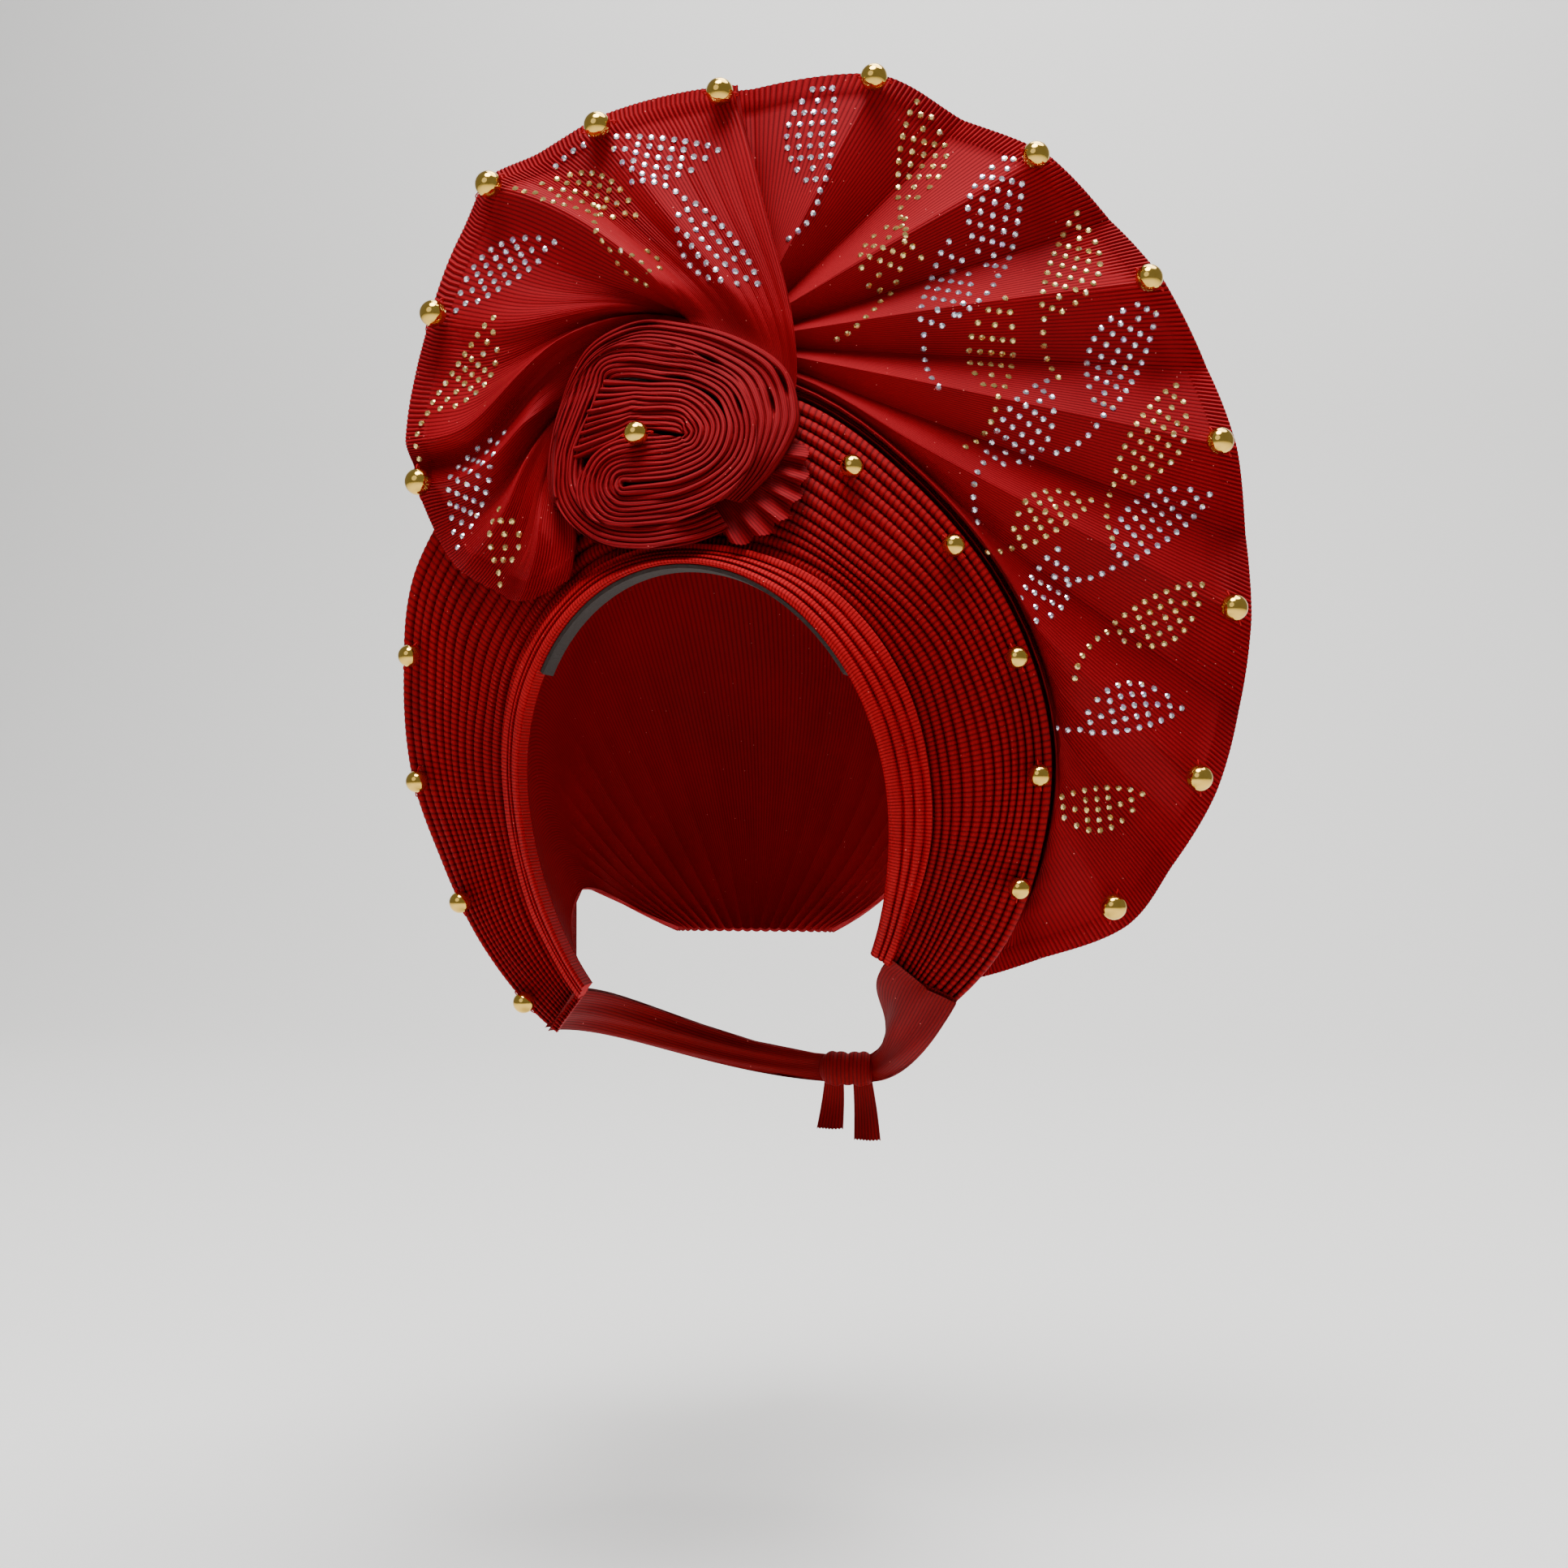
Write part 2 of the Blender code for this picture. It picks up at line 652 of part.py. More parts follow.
def strap_frame(row, share):
    """Centre of a nape strap, the unit vectors across it and through its wall, and its width."""
    side = row.side
    deg = BRIM_ROWS[-1].deg if side > 0 else BRIM_ROWS[0].deg
    a = math.radians(deg)
    inner = opening_radius(deg) + band_width(deg) + SEAM_GAP
    low = lay(*round_point(deg, inner), STRAP_HEIGHT)
    high = lay(*round_point(deg, brim_radius(deg)), STRAP_HEIGHT)
    leave = Vector((math.cos(a), 0.0, -math.sin(a))) * side
    p0 = (low + high) / 2 + leave * SEAM_GAP
    p1 = p0 + leave * row.away + Vector((0.0, row.back, 0.0))
    p3 = Vector((KNOT_X + side * (KNOT_HALF_LENGTH + SEAM_GAP), KNOT_Y, KNOT_Z))
    p2 = p3 + Vector((row.in_x, row.in_y, row.in_z))
    t = share
    spot = p0 * (1 - t) ** 3 + p1 * 3 * t * (1 - t) ** 2 + p2 * 3 * t * t * (1 - t) + p3 * t**3
    run = (p1 - p0) * (1 - t) ** 2 + (p2 - p1) * 2 * t * (1 - t) + (p3 - p2) * t * t
    run = leave if t == 0.0 else run.normalized()
    turn = t * t * (3 - 2 * t)
    across = (high - low).normalized() * (1 - turn) + Vector((0.0, 0.0, -1.0)) * turn
    across = (across - run * across.dot(run)).normalized()
    through = run.cross(across) * -side
    width = (high - low).length * (1 - turn) + STRAP_KNOT_WIDTH * turn
    return spot, across, through, width


def make_strap(name, row, look):
    def at(u, v, depth):
        spot, across, through, width = strap_frame(row, u)
        return spot + across * width * (v - 0.5) + through * depth

    closed_sheet(name, 10, 4, lambda u, v: at(u, v, 0.0), lambda u, v: at(u, v, STRAP_WALL), look)


def make_knot(look):
    """The knot that joins the straps at the nape: a waisted roll that lies across."""
    edit = bmesh.new()
    bmesh.ops.create_uvsphere(edit, u_segments=12, v_segments=8, radius=1.0)
    for vert in edit.verts:
        waist = 1 - 0.18 * math.cos(vert.co.z * math.pi)
        vert.co = Vector(
            (
                KNOT_X + vert.co.z * KNOT_HALF_LENGTH,
                KNOT_Y + vert.co.y * KNOT_RADIUS * 0.75 * waist,
                KNOT_Z + vert.co.x * KNOT_RADIUS * waist,
            )
        )
    edit.normal_update()
    bmesh.ops.recalc_face_normals(edit, faces=edit.faces[:])
    add_object("nape_knot", edit, look, smooth_deg=60)


def make_tail(name, side, length, look):
    """A free end of a strap that hangs from the knot."""

    def at(u, v, depth):
        x = KNOT_X + side * (TAIL_WIDTH / 2 + SEAM_GAP + 0.002 * v)
        z = KNOT_Z - 0.88 * KNOT_RADIUS - SEAM_GAP - length * v
        swing = 0.003 * math.sin(math.pi * v)
        return Vector((x + TAIL_WIDTH * (u - 0.5) * (0.7 + 0.3 * v), KNOT_Y + swing + depth, z))

    closed_sheet(name, 3, 4, lambda u, v: at(u, v, 0.0), lambda u, v: at(u, v, TAIL_WALL), look)


def add_bead(name, seat, normal, radius, look):
    """A round bead that rests on the cloth at a seat."""
    edit = bmesh.new()
    bmesh.ops.create_uvsphere(edit, u_segments=BEAD_SIDES, v_segments=BEAD_RINGS, radius=radius)
    thing = add_object(name, edit, look, smooth_deg=80)
    thing.location = seat + normal * (radius + BEAD_GAP)
    thing.rotation_euler = normal.to_track_quat("Z", "Y").to_euler()


def make_beads(look):
    for number, (deg, pleat) in enumerate(BRIM_BEADS, 1):
        inner = opening_radius(deg) + band_width(deg) + SEAM_GAP
        v = 1 - (pleat - 0.5) / BRIM_PLEATS
        x, z = round_point(deg, inner + (brim_radius(deg) - inner) * v)
        seat = lay(x, z, brim_height(v))
        add_bead(f"brim_bead_{number:02d}", seat, outward(x, z), BRIM_BEAD_RADIUS, look)
    ridges = [k for k, row in enumerate(FAN_ROWS) if row.rise > 0.5]
    for number, place in enumerate(ridges, 1):
        seat = fan_point(place, FAN_BEAD_SHARE)
        add_bead(f"fan_bead_{number:02d}", seat, outward(seat.x, seat.z), FAN_BEAD_RADIUS, look)
    for number, place in enumerate(DRAPE_BEAD_ROWS, 1):
        seat = drape_point(place, DRAPE_BEAD_SHARE)
        add_bead(f"drape_bead_{number:02d}", seat, outward(seat.x, seat.z), FAN_BEAD_RADIUS, look)
    seat = coil_front(ROSETTE_BEAD_SECTION, 1 - 0.5 / ROSETTE_LAYERS)
    add_bead("rosette_bead", seat, outward(seat.x, seat.z), BRIM_BEAD_RADIUS, look)


def build():
    clear_scene()
    cloth = material("corded_red_cloth", CLOTH_RED, 0.75)
    band = material("band_red_cloth", BAND_RED, 0.75)
    gold = material("gold_bead", GOLD, 0.15, 1.0)
    grey = material("interlining", INTERLINING_GREY, 0.9)
    make_band(band)
    make_brim(cloth)
    make_fan(cloth)
    make_drape(cloth)
    make_rosette(cloth)
    make_wrap(cloth)
    make_frill(cloth)
    make_cap(cloth)
    make_interlining(grey)
    for row in STRAP_ROWS:
        make_strap("nape_strap_left" if row.side > 0 else "nape_strap_right", row, cloth)
    make_knot(cloth)
    make_tail("tie_tail_left", 1, TAIL_LENGTH, cloth)
    make_tail("tie_tail_right", -1, TAIL_LENGTH * 0.8, cloth)
    make_beads(gold)


build()
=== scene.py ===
"""The looks of a tied gele head tie: corded red cloth in fine pleats, two fans, a coiled rosette, gold
beads and leaf sprays of small stones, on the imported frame.

Metres, +Z up. The wearer looks along -Y and +X is the wearer's left. An angle round the head opening is in
degrees, 0 straight up and positive towards +X. A height is how far cloth stands in front of its backing."""

import math
from collections import namedtuple
from functools import lru_cache, partial

import bmesh
import bpy
from mathutils import Matrix, Vector, noise
from mathutils.bvhtree import BVHTree


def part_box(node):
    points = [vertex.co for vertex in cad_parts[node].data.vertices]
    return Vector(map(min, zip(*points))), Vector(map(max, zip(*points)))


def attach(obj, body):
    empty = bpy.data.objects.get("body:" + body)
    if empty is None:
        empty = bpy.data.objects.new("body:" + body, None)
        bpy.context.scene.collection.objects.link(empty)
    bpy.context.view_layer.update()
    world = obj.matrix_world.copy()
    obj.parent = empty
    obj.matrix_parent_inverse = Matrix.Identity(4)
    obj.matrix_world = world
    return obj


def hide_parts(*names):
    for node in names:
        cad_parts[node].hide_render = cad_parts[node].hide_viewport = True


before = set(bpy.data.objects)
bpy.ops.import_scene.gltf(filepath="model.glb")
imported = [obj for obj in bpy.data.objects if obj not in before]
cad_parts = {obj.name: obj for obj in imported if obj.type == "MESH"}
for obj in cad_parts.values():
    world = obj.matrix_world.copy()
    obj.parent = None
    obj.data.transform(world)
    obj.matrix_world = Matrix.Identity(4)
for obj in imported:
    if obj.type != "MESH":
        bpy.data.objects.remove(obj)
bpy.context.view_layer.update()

# Floor, light and camera
# A pale sweep of paper runs along the floor and up behind the head tie. A soft lamp hangs above and a little
# in front, a weaker one fills from the front, and two wide ones light the back and the paper. The camera
# stands at the photograph's angle.
FLOOR_Z = -0.27
SWEEP_BACK = 2.3
SWEEP_BEND = 0.8
SWEEP_BEND_STEPS = 24
SWEEP_TOP = 2.2
SWEEP_FRONT = -2.6
SWEEP_HALF_WIDTH = 2.8
PAPER = (0.82, 0.81, 0.79, 1.0)
PAPER_ROUGHNESS = 0.9
Lamp = namedtuple("Lamp", "name place aim size power")
LAMPS = (
    Lamp("top_lamp", (-0.05, -0.42, 1.25), (0.03, 0.0, 0.10), 0.7, 25.0),
    Lamp("front_lamp", (-0.55, -1.40, 0.75), (0.02, 0.0, 0.05), 1.2, 3.6),
    Lamp("back_lamp", (0.5, 0.35, 2.0), (0.0, 0.7, 0.3), 1.6, 52.0),
    Lamp("paper_lamp", (0.0, 1.2, 2.3), (0.0, 2.2, 0.5), 1.4, 42.0),
)
SURROUND = (0.86, 0.88, 0.92, 1.0)
SURROUND_STRENGTH = 0.28
CAMERA_TURN = math.radians(8)
CAMERA_PLACE = (0.1418, -0.8376, 0.0106)
CAMERA_LENS = 50.7


def link_new(name, data):
    """A new object of this name and data in the scene."""
    made = bpy.data.objects.new(name, data)
    bpy.context.scene.collection.objects.link(made)
    return made


def new_look(name):
    """A new material, and its node tree and Principled shader."""
    look = bpy.data.materials.new(name)
    look.use_nodes = True
    return look, look.node_tree, look.node_tree.nodes["Principled BSDF"]


edit = bmesh.new()
ends = [edit.verts.new((x, SWEEP_FRONT, FLOOR_Z)) for x in (-SWEEP_HALF_WIDTH, SWEEP_HALF_WIDTH)]
strip = [edit.edges.new(ends)]


def pull(strip, step):
    """Extrudes a run of edges by a step and gives the new run."""
    made = bmesh.ops.extrude_edge_only(edit, edges=strip)["geom"]
    fresh = [part for part in made if isinstance(part, bmesh.types.BMVert)]
    bmesh.ops.translate(edit, verts=fresh, vec=step)
    return [part for part in made if isinstance(part, bmesh.types.BMEdge)]


strip = pull(strip, (0.0, SWEEP_BACK - SWEEP_BEND - SWEEP_FRONT, 0.0))
turned = bmesh.ops.spin(
    edit,
    geom=strip,
    cent=(0.0, SWEEP_BACK - SWEEP_BEND, FLOOR_Z + SWEEP_BEND),
    axis=(1.0, 0.0, 0.0),
    angle=math.radians(90),
    steps=SWEEP_BEND_STEPS,
)["geom_last"]
strip = [part for part in turned if isinstance(part, bmesh.types.BMEdge)]
pull(strip, (0.0, 0.0, SWEEP_TOP))
sweep_mesh = bpy.data.meshes.new("paper_sweep")
edit.to_mesh(sweep_mesh)
edit.free()
sweep_mesh.shade_smooth()
paper, _, shader = new_look("pale_paper")
shader.inputs["Base Color"].default_value = PAPER
shader.inputs["Roughness"].default_value = PAPER_ROUGHNESS
sweep_mesh.materials.append(paper)
link_new("paper_sweep", sweep_mesh)

for row in LAMPS:
    lamp = bpy.data.lights.new(row.name, "AREA")
    lamp.shape = "DISK"
    lamp.size = row.size
    lamp.energy = row.power
    stand = link_new(row.name, lamp)
    stand.location = row.place
    stand.rotation_euler = (Vector(row.aim) - Vector(row.place)).to_track_quat("-Z", "Y").to_euler()
world = bpy.data.worlds.new("pale_surround")
world.use_nodes = True
world.node_tree.nodes["Background"].inputs["Color"].default_value = SURROUND
world.node_tree.nodes["Background"].inputs["Strength"].default_value = SURROUND_STRENGTH
bpy.context.scene.world = world

camera_data = bpy.data.cameras.new("camera")
camera_data.lens = CAMERA_LENS
camera = link_new("camera", camera_data)
camera.location = CAMERA_PLACE
camera.rotation_euler = (math.radians(90), 0.0, CAMERA_TURN)
bpy.context.scene.camera = camera

# Forehead band
# Folds of the corded cloth, rolled and loosely twisted, frame the face and hide the seam of the cap. The fold
# next to the skin is the widest. The cloth's cords cross the folds, so each fold looks like a rope.
OPENING_HALF_WIDTH = 0.068
OPENING_RISE = 0.087
OPENING_DROP = 0.105
TEMPLE_SET = -0.030
FACE_LEAN = 0.53
BRIM_REACH = 0.150
BRIM_FLARE = 0.50
FAN_FLARE = 0.20
SEAM_GAP = 0.0003
BAND_WIDTH = 0.015
BAND_HEIGHT = 0.0160
BAND_FOLDS = 3.6
BAND_GROOVE = 0.0032
BAND_CORD = 0.00125
BAND_CORD_DEPTH = 0.00024
BAND_LIP = 0.0016
BAND_LIP_SHARE = 0.16
BAND_LIP_CLIMB = 0.006
BAND_EDGE_HEIGHT = 0.0034
BAND_UNEVEN = 0.0007
MERGE = 1e-7
WEAVE_RELIEF = 0.00016
CORD_FULLNESS = 0.6
THREAD_SCALE = 1900.0
THREAD_LIFT = 0.3
MOTTLE_SCALE = 30.0
MOTTLE_LIFT = 0.5
LIFT_MIDDLE = 0.52
FLECK_SCALE = 760.0
FLECK_RARITY = 0.975
FLECK_SIZE = 0.15
FLECK_GLINT_TONE = (0.85, 0.18, 0.15, 1.0)
WEAVE_SOCKETS = (
    ("Cords", "INPUT", "Vector"),
    ("Place", "INPUT", "Vector"),
    ("Lit", "INPUT", "Color"),
    ("Shade Tone", "INPUT", "Color"),
    ("Cord Depth", "INPUT", "Float"),
    ("Fleck", "INPUT", "Float"),
    ("Color", "OUTPUT", "Color"),
    ("Roughness", "OUTPUT", "Float"),
    ("Height", "OUTPUT", "Float"),
)
BrimRow = namedtuple("BrimRow", "deg reach band")
BRIM_ROWS = (
    BrimRow(-142, 0.740, 0.45),
    BrimRow(-120, 0.725, 0.50),
    BrimRow(-100, 0.737, 0.50),
    BrimRow(-84, 0.795, 0.50),
    BrimRow(-67, 0.872, 0.55),
    BrimRow(-50, 0.985, 0.60),
    BrimRow(-25, 1.050, 0.55),
    BrimRow(0, 1.045, 0.42),
    BrimRow(13, 1.026, 0.55),
    BrimRow(33, 0.947, 0.90),
    BrimRow(57, 0.892, 1.05),
    BrimRow(79, 0.855, 1.00),
    BrimRow(97, 0.819, 0.95),
    BrimRow(116, 0.795, 0.70),
    BrimRow(132, 0.763, 0.50),
)
FIRST_DEG, LAST_DEG = BRIM_ROWS[0].deg, BRIM_ROWS[-1].deg


def hermite(p0, p1, m0, m1, t):
    t2, t3 = t * t, t * t * t
    return (2 * t3 - 3 * t2 + 1) * p0 + (t3 - 2 * t2 + t) * m0 + (3 * t2 - 2 * t3) * p1 + (t3 - t2) * m1


@lru_cache(maxsize=None)
def table_value(rows, key, column, at):
    """A column of a table, read smoothly at a value of its key column."""
    keys = [getattr(row, key) for row in rows]
    values = [getattr(row, column) for row in rows]
    at = min(max(at, keys[0]), keys[-1])
    i = max(k for k in range(len(rows) - 1) if keys[k] <= at or k == 0)
    span = keys[i + 1] - keys[i]

    def slope(k):
        low, high = max(k - 1, 0), min(k + 1, len(rows) - 1)
        return (values[high] - values[low]) / (keys[high] - keys[low])

    return hermite(values[i], values[i + 1], slope(i) * span, slope(i + 1) * span, (at - keys[i]) / span)


def round_point(deg, radius, x=0.0, z=0.0):
    """(x, z) at an angle and a distance round a centre."""
    a = math.radians(deg)
    return x + radius * math.sin(a), z + radius * math.cos(a)


def opening_radius(deg):
    a = math.radians(deg)
    rise = OPENING_RISE if math.cos(a) > 0 else OPENING_DROP
    return 1 / math.hypot(math.sin(a) / OPENING_HALF_WIDTH, math.cos(a) / rise)


def brim_radius(deg):
    return BRIM_REACH * table_value(BRIM_ROWS, "deg", "reach", deg)


def band_width(deg):
    return BAND_WIDTH * table_value(BRIM_ROWS, "deg", "band", deg)


def backing_y(x, z):
    """How far back the cloth lies at (x, z): it flares back from the opening's leaning edge."""
    deg = math.degrees(math.atan2(x, z))
    r, inner, outer = math.hypot(x, z), opening_radius(deg), brim_radius(deg)
    edge = TEMPLE_SET - FACE_LEAN * inner * math.cos(math.radians(deg))
    return edge + BRIM_FLARE * (min(r, outer) - inner) + FAN_FLARE * max(r - outer, 0.0)


def lay(x, z, height):
    """The point that stands a height in front of the cloth's backing at (x, z)."""
    return Vector((x, backing_y(x, z) - height, z))


def ease(low, high, at):
    """0 below low, 1 above high and smooth between."""
    t = min(max((at - low) / (high - low), 0.0), 1.0)
    return t * t * (3 - 2 * t)


def roll(place, fullness=3.0):
    """The profile of rounded folds side by side: 0 in each groove, near 1 over the fold between."""
    return 1 - abs(2 * (place - math.floor(place)) - 1) ** fullness


def waver(x, y, z=0.0):
    """Slow unevenness from -1 to 1, the same on each run."""
    return noise.noise(Vector((x, y, z + 0.37)))


def shares(count, first=0.0, last=1.0):
    return [first + (last - first) * k / count for k in range(count + 1)]


def even_turn(first, last, radius, pitch):
    """Angles from first to last whose points at radius(deg) lie evenly, two to each cord of a pitch."""
    steps = 720
    marks = [first + (last - first) * k / steps for k in range(steps + 1)]
    spots = [Vector(round_point(deg, radius(deg))) for deg in marks]
    runs = [0.0]
    for a, b in zip(spots, spots[1:]):
        runs.append(runs[-1] + (b - a).length)
    count = 2 * round(runs[-1] / pitch)
    degs, k = [], 0
    for step in range(count + 1):
        goal = runs[-1] * step / count
        while k < steps - 1 and runs[k + 1] < goal:
            k += 1
        degs.append(marks[k] + (marks[k + 1] - marks[k]) * (goal - runs[k]) / (runs[k + 1] - runs[k]))
    return degs


def fill_holes(edit):
    """Closes a bmesh's open ends and gives the new faces."""
    rims = [edge for edge in edit.edges if edge.is_boundary]
    return bmesh.ops.holes_fill(edit, edges=rims, sides=0)["faces"]


def add_piece(name, edit, look, sharp_deg=180.0):
    """Turns a closed bmesh into a named object with one material and its faces outwards."""
    edit.normal_update()
    bmesh.ops.recalc_face_normals(edit, faces=edit.faces[:])
    mesh = bpy.data.meshes.new(name)
    edit.to_mesh(mesh)
    edit.free()
    mesh.materials.append(look)
    mesh.shade_smooth()
    mesh.set_sharp_from_angle(angle=math.radians(sharp_deg))
    return link_new(name, mesh)


def dress(piece, node):
    """Rides a piece on the body in place of a CAD node, which it hides."""
    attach(piece, "root")
    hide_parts(node)


def cloth_wall(name, columns, front_shares, back_shares, front, back, look, sharp_deg=180.0, cords_along=0.0):
    """A closed wall of cloth. One grid runs over the front and returns along the back; front and back give
    the point at a column and a share across. Its UV map counts cords across and rows along, or the other way
    round where cords_along says how many cords each row holds."""
    rows = len(front_shares) + len(back_shares)
    edit = bmesh.new()
    weave = edit.loops.layers.uv.new("weave")
    bmesh.ops.create_grid(edit, x_segments=columns, y_segments=rows, size=0.5, calc_uvs=True)
    for vert in edit.verts:
        column = round((vert.co.x + 0.5) * columns)
        row = round((vert.co.y + 0.5) * rows) % rows
        if row < len(front_shares):
            vert.co = front(column, front_shares[row])
        else:
            vert.co = back(column, back_shares[rows - 1 - row])
    for face in edit.faces:
        for corner in face.loops:
            across, along = corner[weave].uv.x * columns, corner[weave].uv.y * rows
            corner[weave].uv = (along * cords_along, across) if cords_along else (across / 2, along)
    bmesh.ops.remove_doubles(edit, verts=edit.verts[:], dist=MERGE)
    fill_holes(edit)
    return add_piece(name, edit, look, sharp_deg)


def feed(tree, node, inputs):
    """Gives a node's inputs a value or the socket that feeds them."""
    for key, value in inputs.items():
        if isinstance(value, bpy.types.NodeSocket):
            tree.links.new(value, node.inputs[key])
        else:
            node.inputs[key].default_value = value


def add_node(tree, kind, inputs, **settings):
    """A new shader node with its settings and inputs."""
    made = tree.nodes.new(kind)
    for key, value in settings.items():
        setattr(made, key, value)
    feed(tree, made, inputs)
    return made


def math_node(tree, operation, a, b=0.0, c=0.0):
    return add_node(tree, "ShaderNodeMath", {0: a, 1: b, 2: c}, operation=operation).outputs[0]


def noise_node(tree, where, scale, detail):
    inputs = {"Vector": where, "Scale": scale, "Detail": detail}
    return add_node(tree, "ShaderNodeTexNoise", inputs).outputs["Fac"]


def mix_node(tree, share, low, high):
    return add_node(tree, "ShaderNodeMix", {0: share, 6: low, 7: high}, data_type="RGBA").outputs[2]


def bump_node(tree, height, distance):
    return add_node(tree, "ShaderNodeBump", {"Height": height, "Distance": distance}).outputs["Normal"]


def make_weave_group():
    """Corded weave: round cords side by side, thread across them, slow mottling and stray bright flecks. The
    colour runs from the shade tone in the grooves between cords to the lit tone on their crests, which is
    painted shade and painted light; mottling and thread vary it at random, and the flecks are painted glints.
    """
    tree = bpy.data.node_groups.new("corded_weave", "ShaderNodeTree")
    for socket, way, kind in WEAVE_SOCKETS:
        tree.interface.new_socket(socket, in_out=way, socket_type="NodeSocket" + kind)
    given = tree.nodes.new("NodeGroupInput").outputs
    across = add_node(tree, "ShaderNodeSeparateXYZ", {0: given["Cords"]}).outputs["X"]
    cord = math_node(tree, "COSINE", math_node(tree, "MULTIPLY", across, math.pi))
    cord = math_node(tree, "POWER", math_node(tree, "ABSOLUTE", cord), CORD_FULLNESS)
    thread = noise_node(tree, given["Place"], THREAD_SCALE, 2.0)
    mottle = noise_node(tree, given["Place"], MOTTLE_SCALE, 3.0)
    # Painted glints: a few small cells take a bright tone, standing for the cloth's sparkle, and a lower
    # roughness.
    cells = add_node(tree, "ShaderNodeTexVoronoi", {"Vector": given["Place"], "Scale": FLECK_SCALE})
    chosen = add_node(tree, "ShaderNodeSeparateXYZ", {0: cells.outputs["Color"]}).outputs["X"]
    fleck = math_node(tree, "GREATER_THAN", chosen, FLECK_RARITY)
    near = math_node(tree, "LESS_THAN", cells.outputs["Distance"], FLECK_SIZE)
    fleck = math_node(tree, "MULTIPLY", math_node(tree, "MULTIPLY", fleck, near), given["Fleck"])
    # Painted shade and light: the cord profile darkens the grooves and lightens the crests, while mottle and
    # thread vary the tone at random.
    lift = math_node(tree, "MULTIPLY_ADD", mottle, MOTTLE_LIFT, cord)
    lift = math_node(tree, "MULTIPLY_ADD", thread, THREAD_LIFT, lift)
    lift = math_node(tree, "SUBTRACT", lift, LIFT_MIDDLE)
    shade = mix_node(tree, fleck, mix_node(tree, lift, given["Shade Tone"], given["Lit"]), FLECK_GLINT_TONE)
    rough = math_node(tree, "MULTIPLY_ADD", mottle, 0.14, 0.62)
    rough = math_node(tree, "MULTIPLY_ADD", fleck, -0.25, rough)
    height = math_node(tree, "MULTIPLY", cord, given["Cord Depth"])
    height = math_node(tree, "MULTIPLY_ADD", thread, THREAD_LIFT, height)
    feed(tree, tree.nodes.new("NodeGroupOutput"), {"Color": shade, "Roughness": rough, "Height": height})
    return tree


WEAVE = make_weave_group()


def corded_cloth(name, lit, shade_tone, cord_depth=1.0, fleck=1.0):
    """A red corded cloth with a soft sheen, in its own pair of colours: a lit tone and a painted shade tone.
    The parts of the one cloth get pairs set lighter or darker for how lit each part is, which paints light
    and shade into them.
    """
    look, tree, shader = new_look(name)
    where = tree.nodes.new("ShaderNodeTexCoord").outputs
    places = {"Cords": where["UV"], "Place": where["Object"]}
    tones = {"Lit": lit, "Shade Tone": shade_tone, "Cord Depth": cord_depth, "Fleck": fleck}
    weave = add_node(tree, "ShaderNodeGroup", {}, node_tree=WEAVE)
    feed(tree, weave, places | tones)
    finish = {
        "Base Color": weave.outputs["Color"],
        "Roughness": weave.outputs["Roughness"],
        "Normal": bump_node(tree, weave.outputs["Height"], WEAVE_RELIEF),
        "Sheen Weight": 0.01,
        "Sheen Roughness": 0.4,
        "Sheen Tint": (1.0, 0.12, 0.12, 1.0),
        "Specular IOR Level": 0.07,
    }
    feed(tree, shader, finish)
    return look


# Painted light and shade: the band's pair of tones is set for how lit the band is, the lightest of the
# cloth's pairs.
BAND_CLOTH = corded_cloth("band_red_cloth", (0.42, 0.004, 0.009, 1.0), (0.10, 0.0006, 0.002, 1.0), 0.5)
band_degs = even_turn(FIRST_DEG, LAST_DEG, lambda deg: opening_radius(deg) + band_width(deg) / 2, BAND_CORD)


def band_front(column, v):
    deg = band_degs[column]
    twist = (0.45 * math.sin(math.radians(deg) * 1.4 + 0.5) + 0.25 * waver(deg / 26, 2.0)) * ease(0.1, 0.5, v)
    place = BAND_FOLDS * v**1.3 + twist + 0.10 * waver(deg / 9, v * 4) * v
    hold = min(1.0, v / 0.08, (1 - v) / BAND_LIP_SHARE * 2)
    height = BAND_HEIGHT * (1 - 0.45 * v) - BAND_GROOVE * (1 - roll(place, 3.2) * hold)
    height += BAND_UNEVEN * waver(deg / 12, math.floor(place) * 3.1)
    height -= BAND_CORD_DEPTH * (column % 2)
    lip = ease(1 - BAND_LIP_SHARE, 1 - BAND_LIP_SHARE / 2, v) * (1 - ease(1 - BAND_LIP_SHARE / 2, 1.0, v))
    height = min(height, BAND_EDGE_HEIGHT + (1 - v) / BAND_LIP_SHARE * 2 * BAND_LIP_CLIMB)
    x, z = round_point(deg, opening_radius(deg) + band_width(deg) * v + BAND_LIP * lip)
    return lay(x, z, height)


def band_back(column, v):
    deg = band_degs[column]
    x, z = round_point(deg, opening_radius(deg) + band_width(deg) * v)
    return lay(x, z, 0.0)


band_shares = shares(38, 0.0, 1 - BAND_LIP_SHARE) + shares(8, 1 - BAND_LIP_SHARE + 0.02, 1.0)
forehead_band = cloth_wall(
    "forehead_band_folds", len(band_degs) - 1, band_shares, shares(3), band_front, band_back, BAND_CLOTH, 50
)
dress(forehead_band, "forehead_band")

